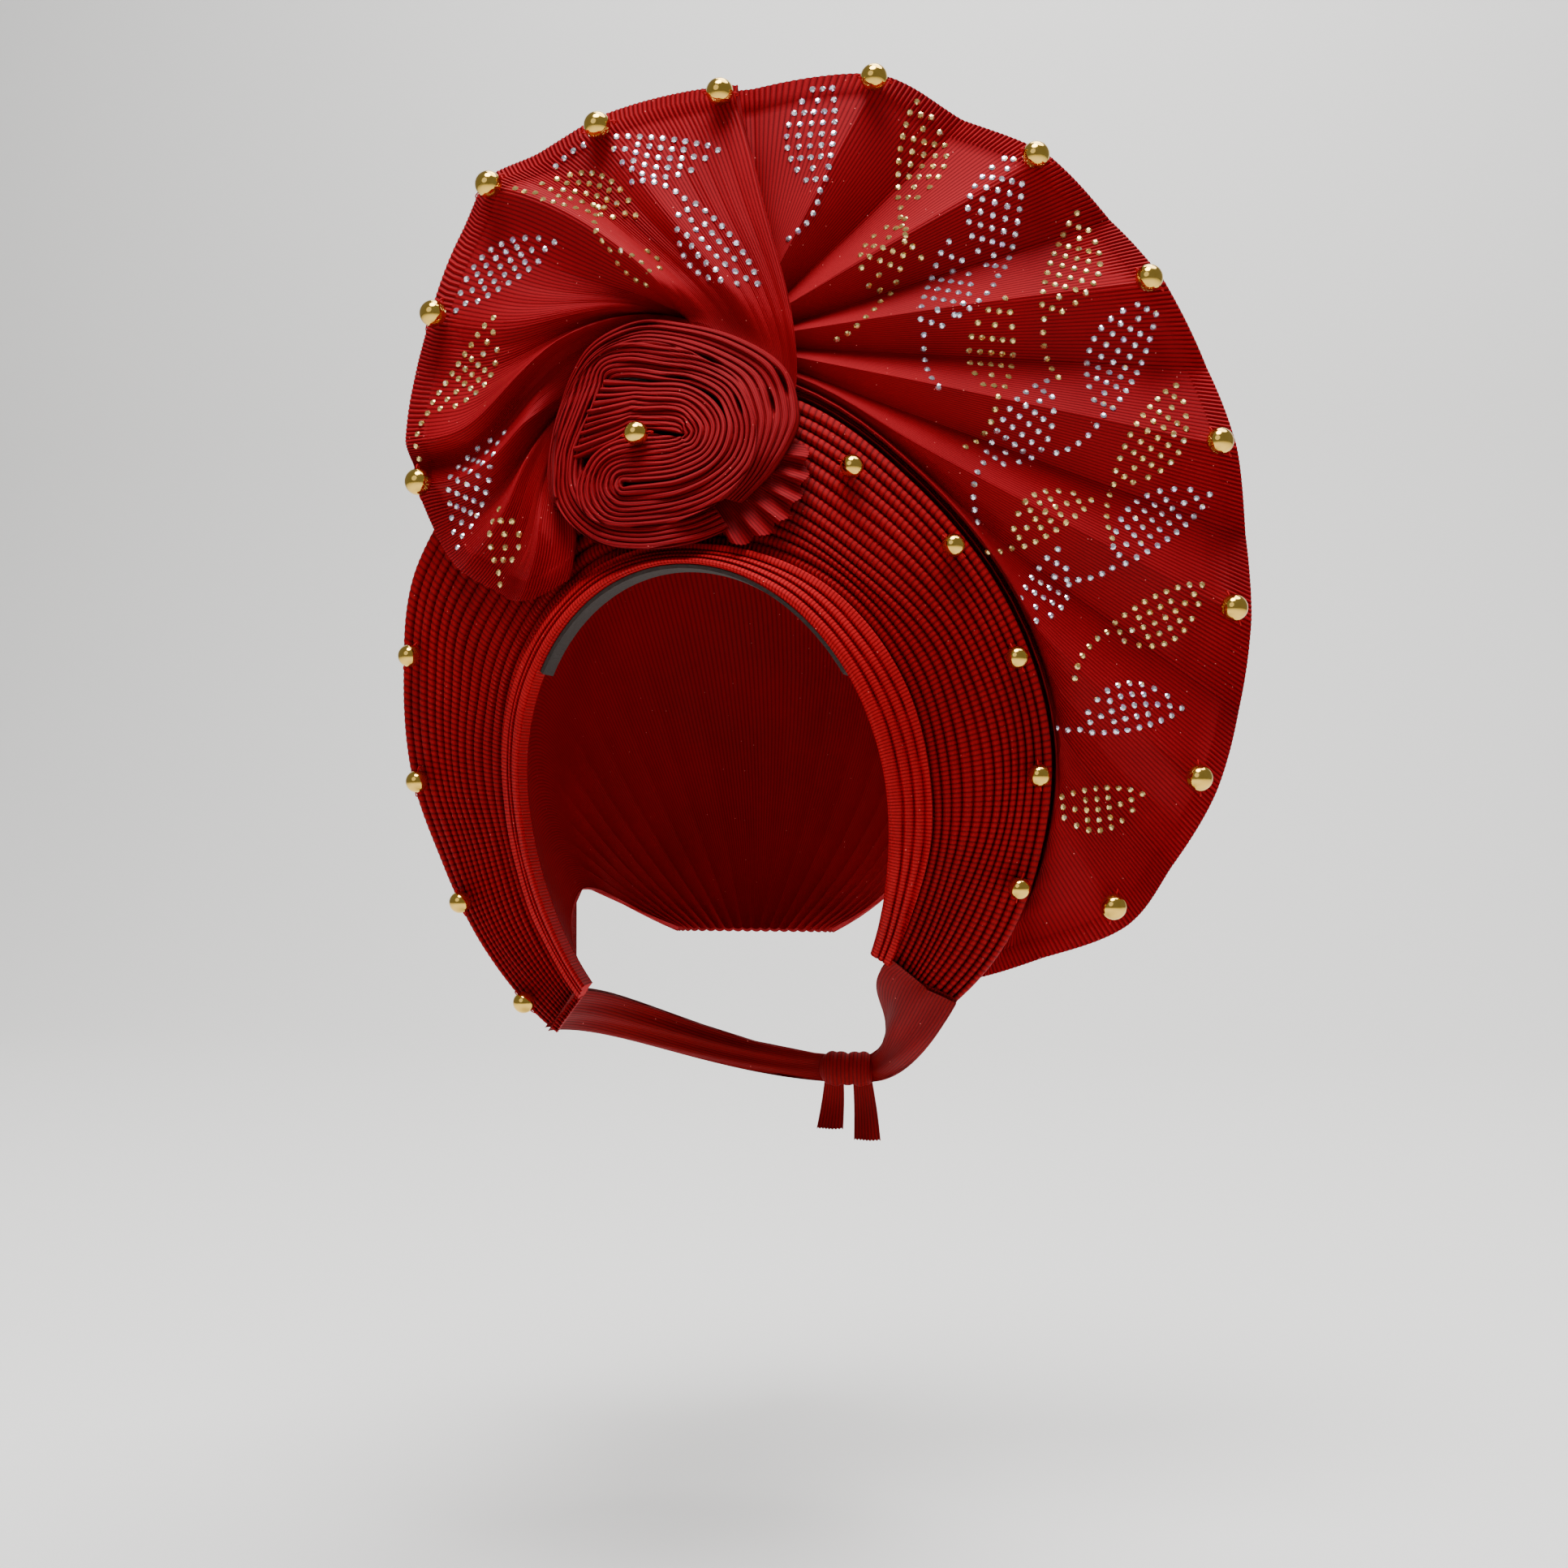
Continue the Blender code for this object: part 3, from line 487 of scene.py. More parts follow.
# Pleated brim
# A stiffened strip of the same cloth in thirteen fine accordion pleats stands round the face like a
# horseshoe. Its pleats run along the brim, the cloth's cords cross them, and both ends are gathered into the
# nape straps.
BRIM_RISE = 0.007
BRIM_HOLLOW = 0.003
BRIM_PLEATS = 13
BRIM_PLEAT_DEPTH = 0.0034
BRIM_CORD = 0.00200
BRIM_CORD_DEPTH = 0.0006
BRIM_EDGE_DROP = 0.3
BRIM_BACK = 0.0012
BRIM_TUCK = 0.0032
BRIM_TUCK_SHARE = 0.06
BRIM_DRIFT = 1.4
BRIM_UNEVEN = 0.0011
PLEAT_SAMPLES = 6
# Painted light and shade: the brim's pair of tones is set for how lit the brim is.
BRIM_CLOTH = corded_cloth("brim_red_cloth", (0.31, 0.003, 0.007, 1.0), (0.075, 0.0006, 0.0018, 1.0), 0.5, 0.5)


def brim_inner(deg):
    return opening_radius(deg) + band_width(deg) + SEAM_GAP


brim_degs = even_turn(FIRST_DEG, LAST_DEG, lambda deg: (brim_inner(deg) + brim_radius(deg)) / 2, BRIM_CORD)


def brim_climb(v):
    return BRIM_HOLLOW + (BRIM_RISE - BRIM_HOLLOW) * min(v * 1.25, 1.0)


def brim_tuck(deg, v, depth):
    """The brim's seam allowance, which lies flat behind the band."""
    x, z = round_point(deg, brim_inner(deg) + BRIM_TUCK * v / BRIM_TUCK_SHARE)
    return lay(x, z, BRIM_HOLLOW - BRIM_PLEAT_DEPTH - depth)


def brim_front(column, v):
    deg = brim_degs[column]
    if v < 0:
        return brim_tuck(deg, v, 0.0)
    drift = BRIM_DRIFT * math.sin(math.pi * v) * waver(deg / 30, v * 1.5, 5.0)
    pleat = v * BRIM_PLEATS
    inner = brim_inner(deg)
    across = v + drift / BRIM_PLEATS * min(1.0, 4 * v, 4 * (1 - v))
    x, z = round_point(deg, inner + (brim_radius(deg) - inner) * across)
    depth = BRIM_PLEAT_DEPTH * (1 - roll(pleat, 4.0)) * (BRIM_EDGE_DROP if pleat > BRIM_PLEATS - 0.5 else 1.0)
    uneven = BRIM_UNEVEN * waver(deg / 17, math.floor(pleat) * 2.7) * roll(pleat)
    return lay(x, z, brim_climb(v) - depth + uneven - BRIM_CORD_DEPTH * (column % 2))


def brim_back(column, v):
    deg = brim_degs[column]
    if v < 0:
        return brim_tuck(deg, v, BRIM_BACK)
    inner = brim_inner(deg)
    x, z = round_point(deg, inner + (brim_radius(deg) - inner) * v)
    return lay(x, z, brim_climb(v) - BRIM_PLEAT_DEPTH * (1 - 0.4 * roll(v * BRIM_PLEATS, 1.0)) - BRIM_BACK)


pleated_brim = cloth_wall(
    "pleated_brim_cloth",
    len(brim_degs) - 1,
    [-BRIM_TUCK_SHARE] + shares(BRIM_PLEATS * PLEAT_SAMPLES),
    [-BRIM_TUCK_SHARE] + shares(2 * BRIM_PLEATS),
    brim_front,
    brim_back,
    BRIM_CLOTH,
    65,
)
dress(pleated_brim, "pleated_brim")

# Pleated fan
# One wide sheet, creased into seven sharp ridges and gathered behind the rosette, opens over the wearer's
# left side. Its lowest folds run down along the brim's edge. The cords follow the creases, and the rim has a
# narrow hem.
FAN_REACH = 0.280
FAN_WALL = 0.0015
FAN_PLEAT_RISE = 0.0065
FAN_VALLEY = 1.35
FAN_BASE = 0.0004
FAN_HUB_X = 0.019
FAN_HUB_Z = 0.168
FAN_HUB_WIDTH = 0.042
FAN_HUG = 0.0035
FAN_HUG_LIFT = 0.0066
FAN_HUG_FADE = 0.008
FAN_HUG_CALM = 0.8
STACK_FOLDS = 0.8
STACK_DEPTH = 0.0022
FAN_CORDS = 310
FAN_CORD_DEPTH = 0.00042
CREASE_SOFTNESS = 0.02
FAN_TURN = 0.004
FAN_UNEVEN = 0.0012
HEM_WIDTH = 0.0085
HEM_THICKNESS = 0.0005
HEM_DEEPEN = 1.6
HEM_SHARES = (1.06, 1.5, 2.0)
RIM_NOTCH = 0.0005
FanRow = namedtuple("FanRow", "deg reach hug rise")
FAN_ROWS = (
    FanRow(-3, 0.958, 6.0, 0.3),
    FanRow(3, 0.976, 5.6, -0.6),
    FanRow(12.9, 1.005, 5.2, 1.0),
    FanRow(19.7, 0.986, 4.8, -1.0),
    FanRow(27.1, 0.976, 4.4, 1.0),
    FanRow(33.7, 0.951, 4.0, -1.0),
    FanRow(40.4, 0.921, 3.6, 1.0),
    FanRow(47.8, 0.885, 3.2, -1.0),
    FanRow(55.2, 0.844, 2.8, 1.0),
    FanRow(62.2, 0.800, 2.4, -1.0),
    FanRow(70.2, 0.758, 2.0, 1.0),
    FanRow(78.8, 0.714, 1.6, -1.0),
    FanRow(87.9, 0.668, 1.2, 1.0),
    FanRow(97.0, 0.616, 0.85, -1.0),
    FanRow(105.6, 0.572, 0.5, 0.9),
    FanRow(115, 0.480, 0.2, -1.2),
    FanRow(125, 0.404, -1.15, 0.0),
)
FAN_FOLDS = len(FAN_ROWS) - 1
# Painted light and shade: the fan's pair of tones is set darker, for how lit the fan is.
FAN_CLOTH = corded_cloth("fan_red_cloth", (0.30, 0.0035, 0.009, 1.0), (0.085, 0.0005, 0.002, 1.0), 0.5)


@lru_cache(maxsize=None)
def fold_value(rows, column, place):
    """A column of a table of folds, read smoothly at a place counted in folds from the first."""
    values = [getattr(row, column) for row in rows]
    i = min(int(place), len(rows) - 2)
    low, high = values[max(i - 1, 0)], values[min(i + 2, len(rows) - 1)]
    m0 = (values[i + 1] - low) / (2 if i else 1)
    m1 = (high - values[i]) / (2 if i + 2 < len(rows) else 1)
    return hermite(values[i], values[i + 1], m0, m1, place - i)


def soft_fold(rows, between, place, softness):
    """A rise read between the folds of a table, with each crease a little soft."""
    total = 0.0
    for near in (-softness, 0.0, softness):
        at = min(max(place + near, 0.0), float(len(rows) - 1))
        i = min(int(at), len(rows) - 2)
        total += between(rows[i].rise, rows[i + 1].rise, at - i)
    return total / 3


def fan_between(a, b, part):
    """The pleats are straight between folds, and their valleys are deeper than their ridges are high."""
    a, b = (rise if rise > 0 else rise * FAN_VALLEY for rise in (a, b))
    return a + (b - a) * part


@lru_cache(maxsize=None)
def fan_crease(place):
    return soft_fold(FAN_ROWS, fan_between, place, CREASE_SOFTNESS)


def fan_spot(place, v):
    """(x, z) of the pleated fan at a fold and a share of the way from its hub to its rim, and how far that is
    beyond the brim's edge."""
    rim_deg = fold_value(FAN_ROWS, "deg", place)
    hug = FAN_HUG * fold_value(FAN_ROWS, "hug", place)
    rim_x, rim_z = round_point(rim_deg, FAN_REACH * fold_value(FAN_ROWS, "reach", place))
    hub_z = FAN_HUB_Z + FAN_HUB_WIDTH * (0.5 - place / FAN_FOLDS)
    x = FAN_HUB_X + (rim_x - FAN_HUB_X) * v
    z = hub_z + (rim_z - hub_z) * v
    deg = math.degrees(math.atan2(x, z))
    loose = 1 - min(v, 1.0) ** 6
    over = math.hypot(x, z) - brim_radius(deg) - hug * loose
    beyond = hug * loose + (over + math.hypot(over, FAN_TURN * loose)) / 2
    if loose == 0.0:
        beyond = math.hypot(x, z) - brim_radius(deg)
    return round_point(deg, brim_radius(deg) + beyond), beyond


def fan_point(place, v, dip=0.0, depth=0.0, hemmed=False):
    (x, z), beyond = fan_spot(place, v)
    swell = 0.40 + 0.60 * math.sin(math.pi * min(v / 1.35, 1.0))
    close = math.exp(-max(beyond, 0.0) / FAN_HUG_FADE) * ease(0.0003, 0.0016, beyond)
    close *= 1 - ease(FAN_FOLDS - 3.0, FAN_FOLDS - 1.0, place)
    rise = FAN_PLEAT_RISE * fan_crease(place) * swell * (1 - FAN_HUG_CALM * close)
    rise += FAN_HUG_LIFT * close
    rise -= STACK_DEPTH * (1 - roll(place * STACK_FOLDS, 3.0)) * close * ease(6.0, 9.0, place)
    soft = FAN_UNEVEN * waver(place * 0.9, v * 3.0, 9.0) * math.sin(math.pi * v)
    cord = FAN_CORD_DEPTH * min(v * 1.1, 1.0) * (HEM_DEEPEN if hemmed else 1.0)
    return lay(x, z, FAN_BASE + rise + soft + HEM_THICKNESS * hemmed - cord * dip - depth)


@lru_cache(maxsize=None)
def fan_hem_share(place):
    """Share of the way from hub to rim at which the hem starts."""
    (hub_x, hub_z), _ = fan_spot(place, 0.0)
    (rim_x, rim_z), _ = fan_spot(place, 1.0)
    return 1 - HEM_WIDTH / math.hypot(rim_x - hub_x, rim_z - hub_z)


def hemmed_fan(name, folds, cords, steps, point, hem_share, notch, wall):
    """A fan of cloth with a hem along its rim, where shares across lie above 1."""

    def side_point(column, v, side):
        dip, place = column % 2, folds * column / (2 * cords)
        start = hem_share(place)
        if v > 1:
            share = start + (1 - start) * (v - 1) - notch * dip * (v == 2)
        else:
            share = start * v
        return point(place, share, dip * side, 0.0 if side > 0 else wall, v > 1)

    rows = shares(steps) + list(HEM_SHARES)
    front = partial(side_point, side=1)
    back = partial(side_point, side=-1)
    return cloth_wall(name, 2 * cords, rows, rows, front, back, FAN_CLOTH, 50)


pleated_fan = hemmed_fan(
    "pleated_fan_cloth", FAN_FOLDS, FAN_CORDS, 24, fan_point, fan_hem_share, RIM_NOTCH, FAN_WALL
)
dress(pleated_fan, "pleated_fan")

# Draped fan
# A second sheet opens over the wearer's right brow in front of the brim. Its folds are soft: they swirl from
# the rim into the outer turns of the rosette.
ROSETTE_X = -0.0076
ROSETTE_Z = 0.1355
REST_GAP = 0.0003
DRAPE_REACH = 0.137
DRAPE_WALL = 0.002
DRAPE_FOLD_RISE = 0.012
DRAPE_SWIRL = 4
DRAPE_STILL = 0.95
DRAPE_CLEAR = 0.044
DRAPE_CLEAR_RUN = 0.014
DRAPE_ROOT = 0.024
DRAPE_DEEPEN = 0.65
DRAPE_UPPER_LEAN = 1.25
DRAPE_LOWER_LEAN = 2.2
DRAPE_SOFTNESS = 0.05
DRAPE_GATHER = 0.0011
DRAPE_UNEVEN = 0.0012
DRAPE_CORDS = 220
DRAPE_CORD_DEPTH = 0.00042
DrapeRow = namedtuple("DrapeRow", "rim_deg reach slant swirl rise")
DRAPE_ROWS = (
    DrapeRow(8, 0.985, 27, 98, 0.42),
    DrapeRow(-4, 0.962, 25, 98, 0.12),
    DrapeRow(-15.5, 0.938, 24, 92, 0.50),
    DrapeRow(-27, 0.922, 26, 70, 0.12),
    DrapeRow(-37, 0.932, 34, 36, 1.00),
    DrapeRow(-47, 0.885, 14, 108, 0.05),
    DrapeRow(-62, 0.820, 13, 168, 0.38),
    DrapeRow(-74, 0.802, 4, 236, 0.10),
    DrapeRow(-88, 0.785, 2, 294, 0.85),
    DrapeRow(-93, 0.769, 0, 235, 0.22),
    DrapeRow(-97.5, 0.758, -6, 146, 0.85),
    DrapeRow(-108, 0.735, 0, 150, 0.12),
    DrapeRow(-119, 0.690, 8, 190, 0.70),
    DrapeRow(-129, 0.630, 10, 220, 0.12),
    DrapeRow(-137, 0.590, 15, 250, 0.60),
    DrapeRow(-146, 0.460, 20, 300, 0.10),
)
DRAPE_FOLDS = len(DRAPE_ROWS) - 1


def drape_height():
    """Height of the draped fan's front where it lies flat on the brim's pleats."""
    return BRIM_RISE + REST_GAP + DRAPE_WALL


def drape_between(a, b, part):
    """Each ridge slopes away on its upper side and drops on its lower side."""
    if b > a:
        return a + (b - a) * part**DRAPE_UPPER_LEAN
    return b + (a - b) * (1 - part) ** DRAPE_LOWER_LEAN


@lru_cache(maxsize=None)
def drape_fold(place):
    return soft_fold(DRAPE_ROWS, drape_between, place, DRAPE_SOFTNESS)


def drape_point(place, v, dip=0.0, depth=0.0, hemmed=False):
    rim_deg = fold_value(DRAPE_ROWS, "rim_deg", place)
    rim = DRAPE_REACH * fold_value(DRAPE_ROWS, "reach", place)
    inwards = max(DRAPE_STILL - v, 0.0) / DRAPE_STILL
    deg = rim_deg + fold_value(DRAPE_ROWS, "slant", place) * inwards
    deg += fold_value(DRAPE_ROWS, "swirl", place) * inwards**DRAPE_SWIRL
    reach = DRAPE_ROOT + (rim - DRAPE_ROOT) * v
    x, z = round_point(deg, reach, ROSETTE_X, ROSETTE_Z)
    clear = ease(DRAPE_CLEAR, DRAPE_CLEAR + DRAPE_CLEAR_RUN, reach)
    deepen = 1 + DRAPE_DEEPEN * 4 * v * (1 - v)
    rise = DRAPE_FOLD_RISE * drape_fold(place) * deepen * (1 - 0.35 * v) * clear
    rise += DRAPE_GATHER * roll(place * 2.5, 1.6) * clear * (1 - v)
    rise += DRAPE_UNEVEN * (1 + waver(place * 1.1, v * 3.0, 4.0)) * clear * (1 - v**3)
    cord = DRAPE_CORD_DEPTH * min(v * 1.1, 1.0) * (HEM_DEEPEN if hemmed else 1.0)
    return lay(x, z, drape_height() + max(rise, 0.0) + HEM_THICKNESS * hemmed - cord * dip - depth)


def drape_hem_share(place):
    return 1 - HEM_WIDTH / (DRAPE_REACH * fold_value(DRAPE_ROWS, "reach", place) - DRAPE_ROOT)


draped_fan = hemmed_fan(
    "draped_fan_cloth", DRAPE_FOLDS, DRAPE_CORDS, 44, drape_point, drape_hem_share, 2 * RIM_NOTCH, DRAPE_WALL
)
dress(draped_fan, "draped_fan")

# Rosette
# The sheet's other end is pleated into a stack of thin layers that stands on edge. The stack turns round two
# eyes and then round itself, so its folded edges face forwards as fine curved lines. Broader layers hug it
# outside, and its raw end shows as small pleats at the lower right. It is sewn from behind.
ROSETTE_RADIUS = 0.045
ROSETTE_DEPTH = 0.019
ROSETTE_EDGE_FALL = 0.35
ROSETTE_SEAT = 0.0011
COIL_LAYERS = 11
COIL_PITCH = 0.0019
COIL_GROOVE = 0.0026
COIL_STEP = 12
COIL_SPREAD = 0.0010
COIL_INWARDS = 0.0045
COIL_OUTWARDS = 0.0018
COIL_END_DROP = 0.010
COIL_SINK = 0.0030
COIL_SLIDE = 0.032
COIL_WIDEN = (8.0, 9.5)
COIL_NARROW = (16.0, 18.0)
COIL_OVERLAP = (21.0, 24.5)
COIL_LAST = (31.3, 33.0)
CUT_RAGGED = 0.0016
CUT_GROOVE = 0.0022
CUT_SECTIONS = 1.4
LAYER_SAMPLES = 8
LAYER_FULLNESS = 6.0
LAYER_UNEVEN = 0.0022
SLIT_DEPTH = 0.007
SLIT_HALF_WIDTH = 0.42
WRAP_HEIGHT = 0.013
WRAP_LAYERS = 6
WRAP_BROAD = (5.0, 9.0)
WRAP_BROADEN = 0.45
WRAP_GROOVE = 0.0012
WRAP_OVERLAP = 0.03
WRAP_END_DROP = 0.006
CoilRow = namedtuple("CoilRow", "left_x left_z right_x right_z")
COIL_ROWS = (
    CoilRow(-0.531, 0.433, -0.740, -0.207),
    CoilRow(-0.344, 0.400, -0.411, -0.102),
    CoilRow(-0.153, 0.369, -0.167, 0.009),
    CoilRow(0.140, 0.340, 0.122, -0.036),
    CoilRow(0.369, 0.196, 0.169, -0.047),
    CoilRow(0.480, -0.022, 0.191, -0.073),
    CoilRow(0.400, -0.267, 0.176, -0.109),
    CoilRow(0.140, -0.407, 0.129, -0.111),
    CoilRow(-0.153, -0.433, -0.167, -0.080),
    CoilRow(-0.280, -0.429, -0.456, -0.196),
    CoilRow(-0.300, -0.460, -0.629, -0.431),
    CoilRow(-0.284, -0.489, -0.524, -0.662),
    CoilRow(-0.233, -0.498, -0.256, -0.747),
    CoilRow(0.000, -0.487, 0.033, -0.747),
    CoilRow(0.176, -0.456, 0.233, -0.689),
    CoilRow(0.367, -0.360, 0.456, -0.556),
    CoilRow(0.484, -0.227, 0.627, -0.322),
    CoilRow(0.529, -0.053, 0.684, -0.044),
    CoilRow(0.502, 0.089, 0.649, 0.156),
    CoilRow(0.400, 0.267, 0.516, 0.400),
    CoilRow(0.178, 0.382, 0.267, 0.556),
    CoilRow(-0.089, 0.422, -0.044, 0.689),
    CoilRow(-0.344, 0.489, -0.333, 0.724),
    CoilRow(-0.531, 0.502, -0.600, 0.636),
    CoilRow(-0.600, 0.378, -0.767, 0.444),
    CoilRow(-0.656, 0.178, -0.880, 0.178),
    CoilRow(-0.738, -0.044, -0.924, -0.089),
    CoilRow(-0.773, -0.227, -0.911, -0.311),
    CoilRow(-0.751, -0.467, -0.867, -0.533),
    CoilRow(-0.604, -0.676, -0.702, -0.742),
    CoilRow(-0.367, -0.813, -0.422, -0.911),
    CoilRow(-0.044, -0.849, -0.044, -0.960),
    CoilRow(0.222, -0.796, 0.256, -0.922),
    CoilRow(0.444, -0.680, 0.522, -0.789),
)
WrapRow = namedtuple("WrapRow", "section x z")
WRAP_ROWS = (
    WrapRow(15, 0.600, -0.589),
    WrapRow(16, 0.822, -0.333),
    WrapRow(17, 0.956, -0.067),
    WrapRow(18, 0.996, 0.178),
    WrapRow(19, 0.867, 0.556),
    WrapRow(20, 0.489, 0.800),
    WrapRow(21, 0.044, 0.922),
    WrapRow(22, -0.311, 0.956),
    WrapRow(23, -0.689, 0.800),
    WrapRow(24, -0.889, 0.533),
    WrapRow(25, -0.989, 0.200),
    WrapRow(26, -1.022, -0.111),
    WrapRow(27, -1.011, -0.356),
    WrapRow(28, -0.933, -0.600),
)
# Where a bend opens a dark slit between two layers: the section, the layer's boundary and the half length
Slit = namedtuple("Slit", "section layer run")
COIL_SLITS = (
    Slit(5.6, 8, 0.9),
    Slit(11.4, 0, 0.8),
    Slit(20.4, 1, 0.5),
    Slit(18.2, 3, 0.5),
    Slit(25.0, 3, 0.6),
)
WRAP_SLITS = (
    Slit(3.2, 3, 0.45),
    Slit(3.7, 5, 0.40),
    Slit(6.9, 5, 0.50),
    Slit(7.5, 3, 0.45),
    Slit(5.0, 1, 0.4),
)
# Painted shade: the rosette's layers get a darker pair of tones than the fans, for the shade they lie in.
LAYER_CLOTH = corded_cloth("layer_red_cloth", (0.25, 0.0035, 0.008, 1.0), (0.08, 0.0006, 0.002, 1.0), 0.5)


def rosette_lay(a, b, height):
    """The point that stands a height above the rosette's base, at (a, b) from its middle."""
    return lay(ROSETTE_X + a, ROSETTE_Z + b, drape_height() + ROSETTE_SEAT + height)


def rosette_top(a, b):
    return ROSETTE_DEPTH * (1 - ROSETTE_EDGE_FALL * min((a * a + b * b) / ROSETTE_RADIUS**2, 1.3))


def row_spot(rows, x, z, place):
    return Vector((fold_value(rows, x, place), fold_value(rows, z, place)))


def coil_spot(section, w):
    """Place on the coiled stack at a section and a share across its layers."""
    left = row_spot(COIL_ROWS, "left_x", "left_z", section)
    right = row_spot(COIL_ROWS, "right_x", "right_z", section)
    return left.lerp(right, w) * ROSETTE_RADIUS


def layer_fall(section, place, slits, seed):
    """How much lower than its top a stack of layers lies at a place counted in layers."""
    layer = math.floor(place)
    slack = 0.5 + 0.5 * waver(section * 0.55, layer * 1.9, seed)
    fall = COIL_GROOVE * (0.7 + 0.6 * slack) * (1 - roll(place, LAYER_FULLNESS - 2.5 * slack))
    for slit in slits:
        apart = math.hypot((section - slit.section) / slit.run, (place - slit.layer) / SLIT_HALF_WIDTH)
        fall += SLIT_DEPTH * max(1 - apart, 0.0)
    return fall - LAYER_UNEVEN * waver(section * 0.42, layer * 2.3, seed + 7)


def coil_front(column, w):
    section = column / COIL_STEP
    hold = min(1.0, 8 * w, 8 * (1 - w))
    slide = COIL_SLIDE * waver(section * 0.8, w * 5.0, 3.0) * hold
    width = (coil_spot(section, 1.0) - coil_spot(section, 0.0)).length
    overlap = ease(*COIL_OVERLAP, section)
    inwards = COIL_SPREAD + COIL_INWARDS * overlap
    outwards = COIL_SPREAD + COIL_OUTWARDS * ease(*COIL_WIDEN, section) * (1 - ease(*COIL_NARROW, section))
    full = width + inwards + outwards
    a, b = coil_spot(section, (full * (w + slide) - inwards) / width)
    place = w * min(COIL_LAYERS, full / COIL_PITCH) * 0.99999
    fall = layer_fall(section, place, COIL_SLITS, 1.0)
    fall += CUT_GROOVE * (1 - roll(place, 2.0)) * (1 - ease(0.0, CUT_SECTIONS, section))
    fall += COIL_SINK * (1 - ease(0.0, 0.4, w)) * overlap
    fall += COIL_END_DROP * ease(*COIL_LAST, section)
    if column == 0:
        a -= CUT_RAGGED * (0.5 + waver(math.floor(place) * 1.7, 4.0)) * roll(place, 4.0)
    return rosette_lay(a, b, rosette_top(a, b) - fall)


def layer_stack(name, rows, layers, front, spot, cords_along):
    """A stack of layers along a table's sections, with a flat back."""

    def back(column, w):
        return rosette_lay(*spot(column / COIL_STEP, w), 0.0)

    columns, across = COIL_STEP * (len(rows) - 1), shares(layers * LAYER_SAMPLES)
    return cloth_wall(name, columns, across, shares(3), front, back, LAYER_CLOTH, cords_along=cords_along)


rosette_coil = layer_stack("rosette_coil_layers", COIL_ROWS, COIL_LAYERS, coil_front, coil_spot, 0.2)
dress(rosette_coil, "rosette_coil")


def wrap_spot(place, w):
    inner = coil_spot(WRAP_ROWS[0].section + place, 1.0)
    return inner.lerp(row_spot(WRAP_ROWS, "x", "z", place) * ROSETTE_RADIUS, w)


def wrap_front(column, w):
    place = column / COIL_STEP
    a, b = wrap_spot(place, -WRAP_OVERLAP + (1 + WRAP_OVERLAP) * w)
    broad = ease(*WRAP_BROAD, place)
    layer = min(WRAP_LAYERS * w ** (1.0 - WRAP_BROADEN * broad), WRAP_LAYERS - 1e-6)
    fall = layer_fall(place, layer, WRAP_SLITS, 4.0)
    fall += WRAP_GROOVE * (1 - roll(layer, 2.0)) * broad
    fall += WRAP_END_DROP * (1 - ease(0.0, 1.5, place))
    return rosette_lay(a, b, WRAP_HEIGHT * (1.12 - 0.5 * w) - fall)


rosette_wrap = layer_stack("rosette_wrap_layers", WRAP_ROWS, WRAP_LAYERS, wrap_front, wrap_spot, 0.5)
dress(rosette_wrap, "rosette_wrap")

FRILL_ROOT = 0.030
FRILL_REACH = 0.054
FRILL_WALL = 0.0018
FRILL_RISE = 0.0058
FRILL_PLEATS = 6
FRILL_CORD = 0.0011
FRILL_CORD_DEPTH = 0.00018
FRILL_RAGGED = 0.0004
FRILL_LOBE = 0.0030
FrillRow = namedtuple("FrillRow", "deg reach")
FRILL_ROWS = (
    FrillRow(94, 0.870),
    FrillRow(106, 0.930),
    FrillRow(120, 0.960),
    FrillRow(134, 0.960),
    FrillRow(150, 0.900),
)
frill_first, frill_last = FRILL_ROWS[0].deg, FRILL_ROWS[-1].deg
frill_degs = even_turn(frill_first, frill_last, lambda deg: FRILL_REACH * 0.9, FRILL_CORD)


def frill_point(column, v, depth, dip):
    deg = frill_degs[column]
    pleat = (deg - frill_first) / (frill_last - frill_first) * FRILL_PLEATS
    part = pleat - math.floor(min(pleat, FRILL_PLEATS - 1e-6))
    reach = FRILL_REACH * table_value(FRILL_ROWS, "deg", "reach", deg)
    reach += FRILL_LOBE * (roll(part, 2.0) - 0.5) - FRILL_RAGGED * (column % 2)
    x, z = round_point(deg, FRILL_ROOT + (reach - FRILL_ROOT) * v, ROSETTE_X, ROSETTE_Z)
    rise = FRILL_RISE * math.sin(math.pi * part**2.3) * ease(0.3, 0.9, v)
    return lay(x, z, BRIM_RISE + REST_GAP + FRILL_WALL + rise - FRILL_CORD_DEPTH * dip - depth)


def cord_wall(name, columns, front_steps, back_steps, point, wall, look):
    """A wall whose cords dip in every second column on both sides. Its point takes a column, a share across,
    a depth in the wall and a dip."""
    return cloth_wall(
        name,
        columns,
        shares(front_steps),
        shares(back_steps),
        lambda column, v: point(column, v, 0.0, column % 2),
        lambda column, v: point(column, v, wall, -(column % 2)),
        look,
        60,
    )


rosette_frill = cord_wall(
    "rosette_frill_pleats", len(frill_degs) - 1, 16, 16, frill_point, FRILL_WALL, LAYER_CLOTH
)
dress(rosette_frill, "rosette_frill")

